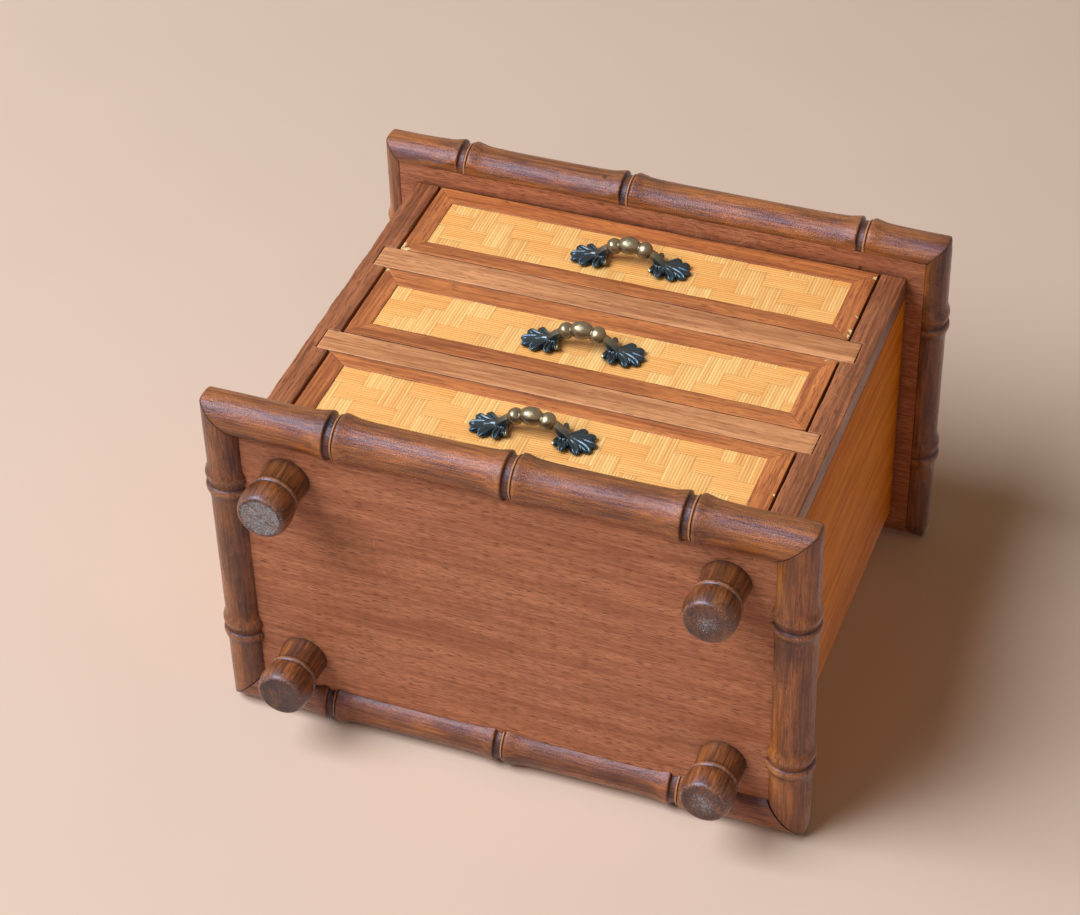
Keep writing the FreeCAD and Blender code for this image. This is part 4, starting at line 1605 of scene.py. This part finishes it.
@dataclass(frozen=True)
class Lobe:
    """One lobe of a leaf. Its places are about the leaf's own root, along the pull and up the drawer."""

    root: tuple[float, float]
    bend: tuple[float, float]
    tip: tuple[float, float]
    half_width: float
    root_height: float
    tip_height: float
    furrow: float


LEAF_LOBES = (
    Lobe((2.0, 0.0), (8.0, -0.2), (14.0, -1.3), 2.0, 3.4, 2.6, 0.3),
    Lobe((2.6, 0.5), (8.6, 1.4), (12.4, 4.0), 1.9, 3.0, 3.0, 0.3),
    Lobe((2.6, -0.5), (9.0, -1.8), (12.3, -5.7), 2.0, 3.0, 2.8, 0.3),
    Lobe((0.8, 0.6), (5.4, 2.2), (8.1, 6.3), 1.95, 3.2, 3.5, 0.3),
    Lobe((0.8, -0.6), (6.0, -2.6), (7.7, -8.2), 2.1, 3.2, 3.1, 0.3),
    Lobe((-1.2, 0.7), (0.2, 3.0), (-0.7, 7.4), 1.5, 3.4, 4.6, 0.15),
    Lobe((-1.0, -0.7), (1.9, -3.2), (1.2, -8.6), 1.9, 3.4, 3.9, 0.3),
    Lobe((-1.6, -0.5), (-1.0, -3.0), (-2.6, -6.0), 1.3, 3.4, 3.9, 0.2),
)


@dataclass
class CastPull:
    """A cast bow pull: three beads on a bow between two leaves."""

    half_span: float = 14.0
    foot_height: float = 1.6
    crest: float = 9.4
    bow_r: float = 1.75
    beads: tuple[tuple[float, float, float], ...] = ((-0.6, 4.7, 3.75), (-7.0, 3.0, 3.5), (6.0, 3.3, 3.7))
    leaf_root: float = 12.0
    voxel: float = 0.24
    turn: float = 2.5
    places: dict[str, tuple[float, float]] = field(
        default_factory=lambda: {"upper": (-1.8, 180.6), "middle": (-1.2, 120.9), "bottom": (-1.4, 64.2)})

    def arc(self, x: float) -> tuple[Vector, Vector]:
        """The bow's line.

        Args:
            x: Place along the pull.

        Returns:
            The point on the line and the way along it.
        """
        rise = self.crest - self.foot_height
        radius = (self.half_span**2 + rise**2) / (2 * rise)
        drop = radius - self.crest
        out = math.sqrt(radius**2 - x * x)
        return Vector((x, drop - out, 0)), Vector((out, x, 0)).normalized()

    def tube(self, shape: Shape, start: float, end: float, girth: Callable[[float], float],
             ridges: int) -> None:
        """Add a stretch of the bow with ridges along it.

        Args:
            shape: The shape to add to.
            start: X of its start.
            end: X of its end.
            girth: Its radius over 0 to 1.
            ridges: How many ridges run along it.
        """
        rows = []
        for k in range(15):
            share = k / 14
            middle, way = self.arc(start + (end - start) * share)
            side = Vector((-way.y, way.x, 0))
            row = []
            for j in range(40):
                angle = 2 * math.pi * j / 40
                r = girth(share) * (1 + 0.17 * abs(math.cos(ridges * angle / 2)) - 0.08)
                up = Vector((0, 0, 1)) * r * 1.15 * math.sin(angle)
                row.append(middle + side * r * math.cos(angle) + up)
            rows.append(row)
        shape.add_rows(rows)

    def bead(self, shape: Shape, x: float, long_r: float, wide_r: float) -> None:
        """Add a bead on the bow.

        Args:
            shape: The shape to add to.
            x: Its place.
            long_r: Its radius along the bow.
            wide_r: Its radius across.
        """
        middle, way = self.arc(x)
        side = Vector((-way.y, way.x, 0))
        rows = []
        for k in range(19):
            angle = math.pi * (k + 0.25) / 18.5
            row = []
            for j in range(32):
                turn = 2 * math.pi * j / 32
                ring = wide_r * math.sin(angle) ** 0.9
                point = middle - way * long_r * math.cos(angle) + side * ring * math.cos(turn)
                point += Vector((0, 0, ring * math.sin(turn)))
                row.append(point + (point - middle).normalized() * 0.12 * rough_value(point, 1.7, x + 3))
            rows.append(row)
        shape.add_rows(rows)

    def lobe(self, shape: Shape, lobe: Lobe, side: int) -> None:
        """Add one lobe of a leaf: a bent, furrowed spoon whose tip lifts off the drawer.

        Args:
            shape: The shape to add to.
            lobe: Its measures.
            side: -1 for the left leaf, 1 for the right.
        """
        root, bend, tip = (Vector((side * (self.leaf_root + along), 0, up))
                           for along, up in (lobe.root, lobe.bend, lobe.tip))
        rows = []
        for k in range(26):
            u = k / 25
            middle = root * (1 - u) ** 2 + bend * 2 * u * (1 - u) + tip * u * u
            way = ((bend - root) * (1 - u) + (tip - bend) * u).normalized()
            across = Vector((-way.z, 0, way.x))
            rounding = math.sqrt(max(0.0, 1 - ((u - 0.76) / 0.24) ** 2)) if u > 0.76 else 1.0
            opening = 0.5 + 0.5 * math.sin(math.pi / 2 * min(1.0, u / 0.72)) ** 1.3
            width = lobe.half_width * opening * max(0.12, rounding)
            top = lobe.root_height * (1 - u) ** 1.4 + 1.9 * 4 * u * (1 - u) * 0.55 + lobe.tip_height * u**1.6
            top *= 0.45 + 0.55 * rounding
            under = max(0.0, (u - 0.5) / 0.5) ** 1.6 * (lobe.tip_height - 1.7)
            row = []
            for j in range(17):
                v = -1 + j / 8
                furrow = lobe.furrow * math.exp(-((v / 0.36) ** 2)) * min(1.0, 2.2 * u)
                rim = (1 - 0.62 * abs(v) ** 3.5) * (1 - furrow)
                row.append(middle + across * width * v + Vector((0, -max(under + 0.35, top * rim), 0)))
            back = Vector((0, 0.15 - under, 0))
            row += [middle + across * width * 0.75 + back, middle - across * width * 0.75 + back]
            rows.append(row)
        shape.add_rows(rows)

    def stem(self, shape: Shape, side: int) -> None:
        """Add the rib that carries the bow's end into the leaf.

        Args:
            shape: The shape to add to.
            side: -1 for the left leaf, 1 for the right.
        """
        rows = []
        for k in range(12):
            share = k / 11
            middle = Vector((side * (self.leaf_root + 8.0 * share), -(3.0 - 0.8 * share), -0.4 * share))
            r = 1.35 - 0.85 * share
            rows.append([middle + Vector((0, r * math.cos(math.pi * j / 8), r * math.sin(math.pi * j / 8)))
                         for j in range(16)])
        shape.add_rows(rows)

    def casting(self) -> bpy.types.Mesh:
        """Pour the parts into one smooth skin.

        Returns:
            The casting about its own middle, in metres.
        """
        shape = Shape()
        for side in (-1, 1):
            self.tube(shape, side * 2.0, side * 14.6, lambda share: self.bow_r * (0.9 + 0.3 * share), 6)
            self.stem(shape, side)
            for lobe in LEAF_LOBES:
                self.lobe(shape, lobe, side)
        for bead in self.beads:
            self.bead(shape, *bead)
        raw = shape.mesh("pull_parts")
        holder = bpy.data.objects.new("pull_parts", raw)
        bpy.context.scene.collection.objects.link(holder)
        remesh = holder.modifiers.new("one_skin", "REMESH")
        remesh.mode = "VOXEL"
        remesh.voxel_size = self.voxel * MM
        smooth = holder.modifiers.new("flow", "SMOOTH")
        smooth.factor = 0.5
        smooth.iterations = 2
        poured = bpy.data.meshes.new_from_object(holder.evaluated_get(bpy.context.evaluated_depsgraph_get()))
        bpy.data.objects.remove(holder)
        poured.polygons.foreach_set("use_smooth", [True] * len(poured.polygons))
        self.rub(poured)
        return poured

    def rub(self, mesh: bpy.types.Mesh) -> None:
        """Note how far each place has been rubbed: the beads most, the leaves' crests a little.

        Args:
            mesh: The casting.
        """
        layer = mesh.attributes.new("rub", "FLOAT", "POINT")
        for point in mesh.vertices:
            place = point.co / MM
            out = max(0.0, -point.normal.y)
            bead = max(0.0, min(1.0, (10.6 - abs(place.x)) / 1.2))
            crest = max(0.0, (-place.y - 2.4) / 2.0) * out * 0.4
            layer.data[point.index].value = min(1.0, bead * (0.6 + 0.4 * out) + crest)

    def build(self) -> None:
        """Make and dress a pull for each drawer."""
        casting = self.casting()
        for level, (x, z) in self.places.items():
            mesh = casting.copy()
            face_y = node_box(drawer(level, "inlay"))[0].y
            turn = Matrix.Rotation(math.radians(self.turn), 4, Vector((0, -1, 0)))
            mesh.transform(Matrix.Translation(Vector((x, face_y, z)) * MM) @ turn)
            place_piece(mesh, drawer(level, "pull_casting"), drawer(level), CastMetal(),
                        [drawer(level, "pull")])
        bpy.data.meshes.remove(casting)


@dataclass
class DrawerBox:
    """The plain box behind a drawer's front: the CAD pieces with their wood, felt and screws."""

    level: str
    edge: float = 0.35
    fine_edge: float = 0.1

    def build(self) -> None:
        """Dress the box."""
        for part in ("front", "side_left", "side_right", "back", "bottom"):
            maker = SOFTWOOD if part.startswith("side") else SHELFWOOD
            dress_node(drawer(self.level, part), maker, self.edge)
        dress_node(drawer(self.level, "lining"), Felt(), self.fine_edge)
        dress_node(drawer(self.level, "pull_screws"), Steel(), self.fine_edge)


# Studio


@dataclass(frozen=True)
class Lamp:
    """A square soft lamp aimed at the chest."""

    name: str
    way: tuple[float, float, float]
    distance: float
    size: float
    power: float
    colour: Rgb

    def build(self, target: Vector) -> None:
        """Hang the lamp.

        Args:
            target: What it is aimed at, in metres.
        """
        data = bpy.data.lights.new(self.name, "AREA")
        data.shape = "SQUARE"
        data.size = self.size
        data.energy = self.power
        data.color = [c / 255 for c in self.colour]
        lamp = bpy.data.objects.new(self.name, data)
        bpy.context.scene.collection.objects.link(lamp)
        way = Vector(self.way).normalized()
        lamp.location = target + way * self.distance
        lamp.rotation_mode = "QUATERNION"
        lamp.rotation_quaternion = (-way).to_track_quat("-Z", "Y")


@dataclass(frozen=True)
class Studio:
    """Floor behind the lying chest, ground under the standing one, lamps, pale surroundings and camera."""

    floor_colour: Rgb = (216, 194, 177)
    sky_colour: Rgb = (255, 212, 158)
    sky_strength: float = 0.15
    floor_gap: float = 0.02
    floor_reach: float = 4.0
    camera_place: tuple[float, float, float] = (320.3, -789.7, -744.1)
    camera_aim: tuple[float, float, float] = (12.18, -78.18, 36.16)
    camera_roll: float = 1.749
    lens: float = 97.837
    sensor: float = 36.0
    shift_y: float = -0.0014
    lamps: tuple[Lamp, ...] = (
        Lamp("window", (-0.52, -0.76, -0.4), 2.6, 1.7, 100.0, (232, 241, 255)),
        Lamp("room", (0.55, -0.8, -0.75), 1.8, 1.6, 2.0, (255, 232, 204)),
        Lamp("behind", (0.3, 0.9, 0.5), 1.8, 1.4, 12.0, (255, 246, 236)),
    )

    def surface(self, name: str) -> bpy.types.Material:
        """The pale floor's material, seen from its front only.

        Args:
            name: The material's name.

        Returns:
            The material.
        """
        material, graph, shader = new_material(name)
        cloud = graph.noise(graph.place(), 5.0, detail=3.0)
        colour, darker = srgb(*self.floor_colour), shaded(self.floor_colour, 0.97)
        shade = graph.mix(graph.remap(cloud, 0.3, 0.7), colour, darker)
        graph.feed(shader, {"Base Color": shade, "Roughness": 0.85, "Specular IOR Level": 0.2})
        clear = graph.add("BsdfTransparent").outputs[0]
        back = graph.add("NewGeometry").outputs["Backfacing"]
        shadow = graph.add("LightPath").outputs["Is Shadow Ray"]
        share = graph.math("MAXIMUM", back, shadow)
        blend = graph.add("MixShader", {0: share, 1: shader.outputs[0], 2: clear})
        output = next(n for n in graph.tree.nodes if n.type == "OUTPUT_MATERIAL")
        graph.link(blend.outputs[0], output.inputs["Surface"])
        return material

    def plane(self, name: str, corners: Sequence[tuple[float, float, float]]) -> bpy.types.Object:
        """A flat stage surface.

        Args:
            name: Its name.
            corners: Its corners, in metres, counter-clockwise from its front.

        Returns:
            The surface.
        """
        mesh = bpy.data.meshes.new(name)
        mesh.from_pydata(corners, [], [tuple(range(len(corners)))])
        surface = bpy.data.objects.new(name, mesh)
        bpy.context.scene.collection.objects.link(surface)
        surface.data.materials.append(self.surface(name + "_paint"))
        surface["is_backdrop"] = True
        return surface

    def build(self) -> None:
        """Set up floor, ground, lamps, surroundings and camera."""
        bpy.context.scene.view_settings.view_transform = "Standard"
        low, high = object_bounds()
        y, far = high.y + self.floor_gap * MM, self.floor_reach
        square = ((-far, -far), (far, -far), (far, far), (-far, far))
        self.plane("floor", [(x, y, z) for x, z in square])
        ground = self.plane("ground", [(x, y, 0) for x, y in square])
        for ray in ("diffuse", "glossy", "transmission", "shadow"):
            setattr(ground, f"visible_{ray}", False)
        target = (low + high) / 2
        for lamp in self.lamps:
            lamp.build(target)
        self.surroundings()
        self.camera()

    def surroundings(self) -> None:
        """Soft light from all round, with a pale backdrop for the camera and for gloss."""
        world = bpy.data.worlds.new("surroundings")
        bpy.context.scene.world = world
        world.use_nodes = True
        graph = Graph(world.node_tree)
        background = world.node_tree.nodes["Background"]
        seen = graph.add("LightPath").outputs
        shown = graph.math("MAXIMUM", seen["Is Camera Ray"], seen["Is Transmission Ray"])
        shown = graph.math("MAXIMUM", shown, seen["Is Glossy Ray"])
        strength = graph.plus(self.sky_strength, graph.times(shown, 1.0 - self.sky_strength))
        pale, sky = srgb(*self.floor_colour), srgb(*self.sky_colour)
        graph.link(graph.mix(shown, sky, pale), background.inputs["Color"])
        graph.link(strength, background.inputs["Strength"])

    def camera(self) -> None:
        """Stand the camera where the photograph was taken."""
        data = bpy.data.cameras.new("camera")
        data.lens = self.lens
        data.sensor_width = self.sensor
        data.shift_y = self.shift_y
        data.clip_start, data.clip_end = 0.05, 20.0
        camera = bpy.data.objects.new("camera", data)
        bpy.context.scene.collection.objects.link(camera)
        place, aim = Vector(self.camera_place) * MM, Vector(self.camera_aim) * MM
        forward = (aim - place).normalized()
        floor_up = Vector((0, -1, 0))
        right = forward.cross(floor_up).normalized()
        up = right.cross(forward)
        basis = Matrix((right, up, -forward)).transposed()
        camera.rotation_mode = "QUATERNION"
        roll = Matrix.Rotation(math.radians(self.camera_roll), 3, forward)
        camera.rotation_quaternion = (roll @ basis).to_quaternion()
        camera.location = place
        bpy.context.scene.camera = camera


RINGS = (
    MouldingRing("bottom", axis_z=29.0, up=1, node_places={
        "front": (-67.65, 5.15, 75.75), "back": (-76.75, -3.0, 71.65),
        "left": (-37.8, 40.2), "right": (-32.7, 40.8),
    }, gaps={"back": (0.08, 0.35), "right": (0.06, 0.3)}, tints={"left": -0.3, "back": -0.1}),
    MouldingRing("top", axis_z=215.6, up=-1, node_places={
        "front": (-86.75, -13.45, 89.25), "back": (-73.2, 0.7, 73.7),
        "left": (-34.2, 37.8), "right": (-37.8, 32.2),
    }, tints={"right": -0.25}, first_seed=11),
)
FEET = (
    TurnedFoot("front_left", scuff=0.62, seed=1),
    TurnedFoot("front_right", scuff=0.1, scuff_at_middle=0.5, seed=2),
    TurnedFoot("back_left", scuff=0.0, scuff_at_middle=0.35, dirt_and_shade=0.85, seed=3),
    TurnedFoot("back_right", scuff=0.15, scuff_at_middle=0.5, seed=4),
)
WEAVES = (
    Weave("upper", anchor=(-57.0, 191.5), shift=1, slope=1.0, seed=2),
    Weave("middle", anchor=(-81.0, 136.0), shift=-1, slope=-1.0, seed=3),
    Weave("bottom", anchor=(-57.4, 80.0), shift=1, slope=0.8, seed=4),
)


def main() -> None:
    """Build every sub-assembly, the studio and the camera."""
    logging.basicConfig(level=logging.INFO, format="%(message)s")
    for piece in (*RINGS, *FEET, Carcass()):
        piece.build()
    for number, weave in enumerate(WEAVES):
        weave.build()
        FrameStrips(weave.level, seed=number).build()
        DrawerBox(weave.level).build()
    CastPull().build()
    Studio().build()
    bpy.context.view_layer.update()


if __name__ == "__main__":
    main()
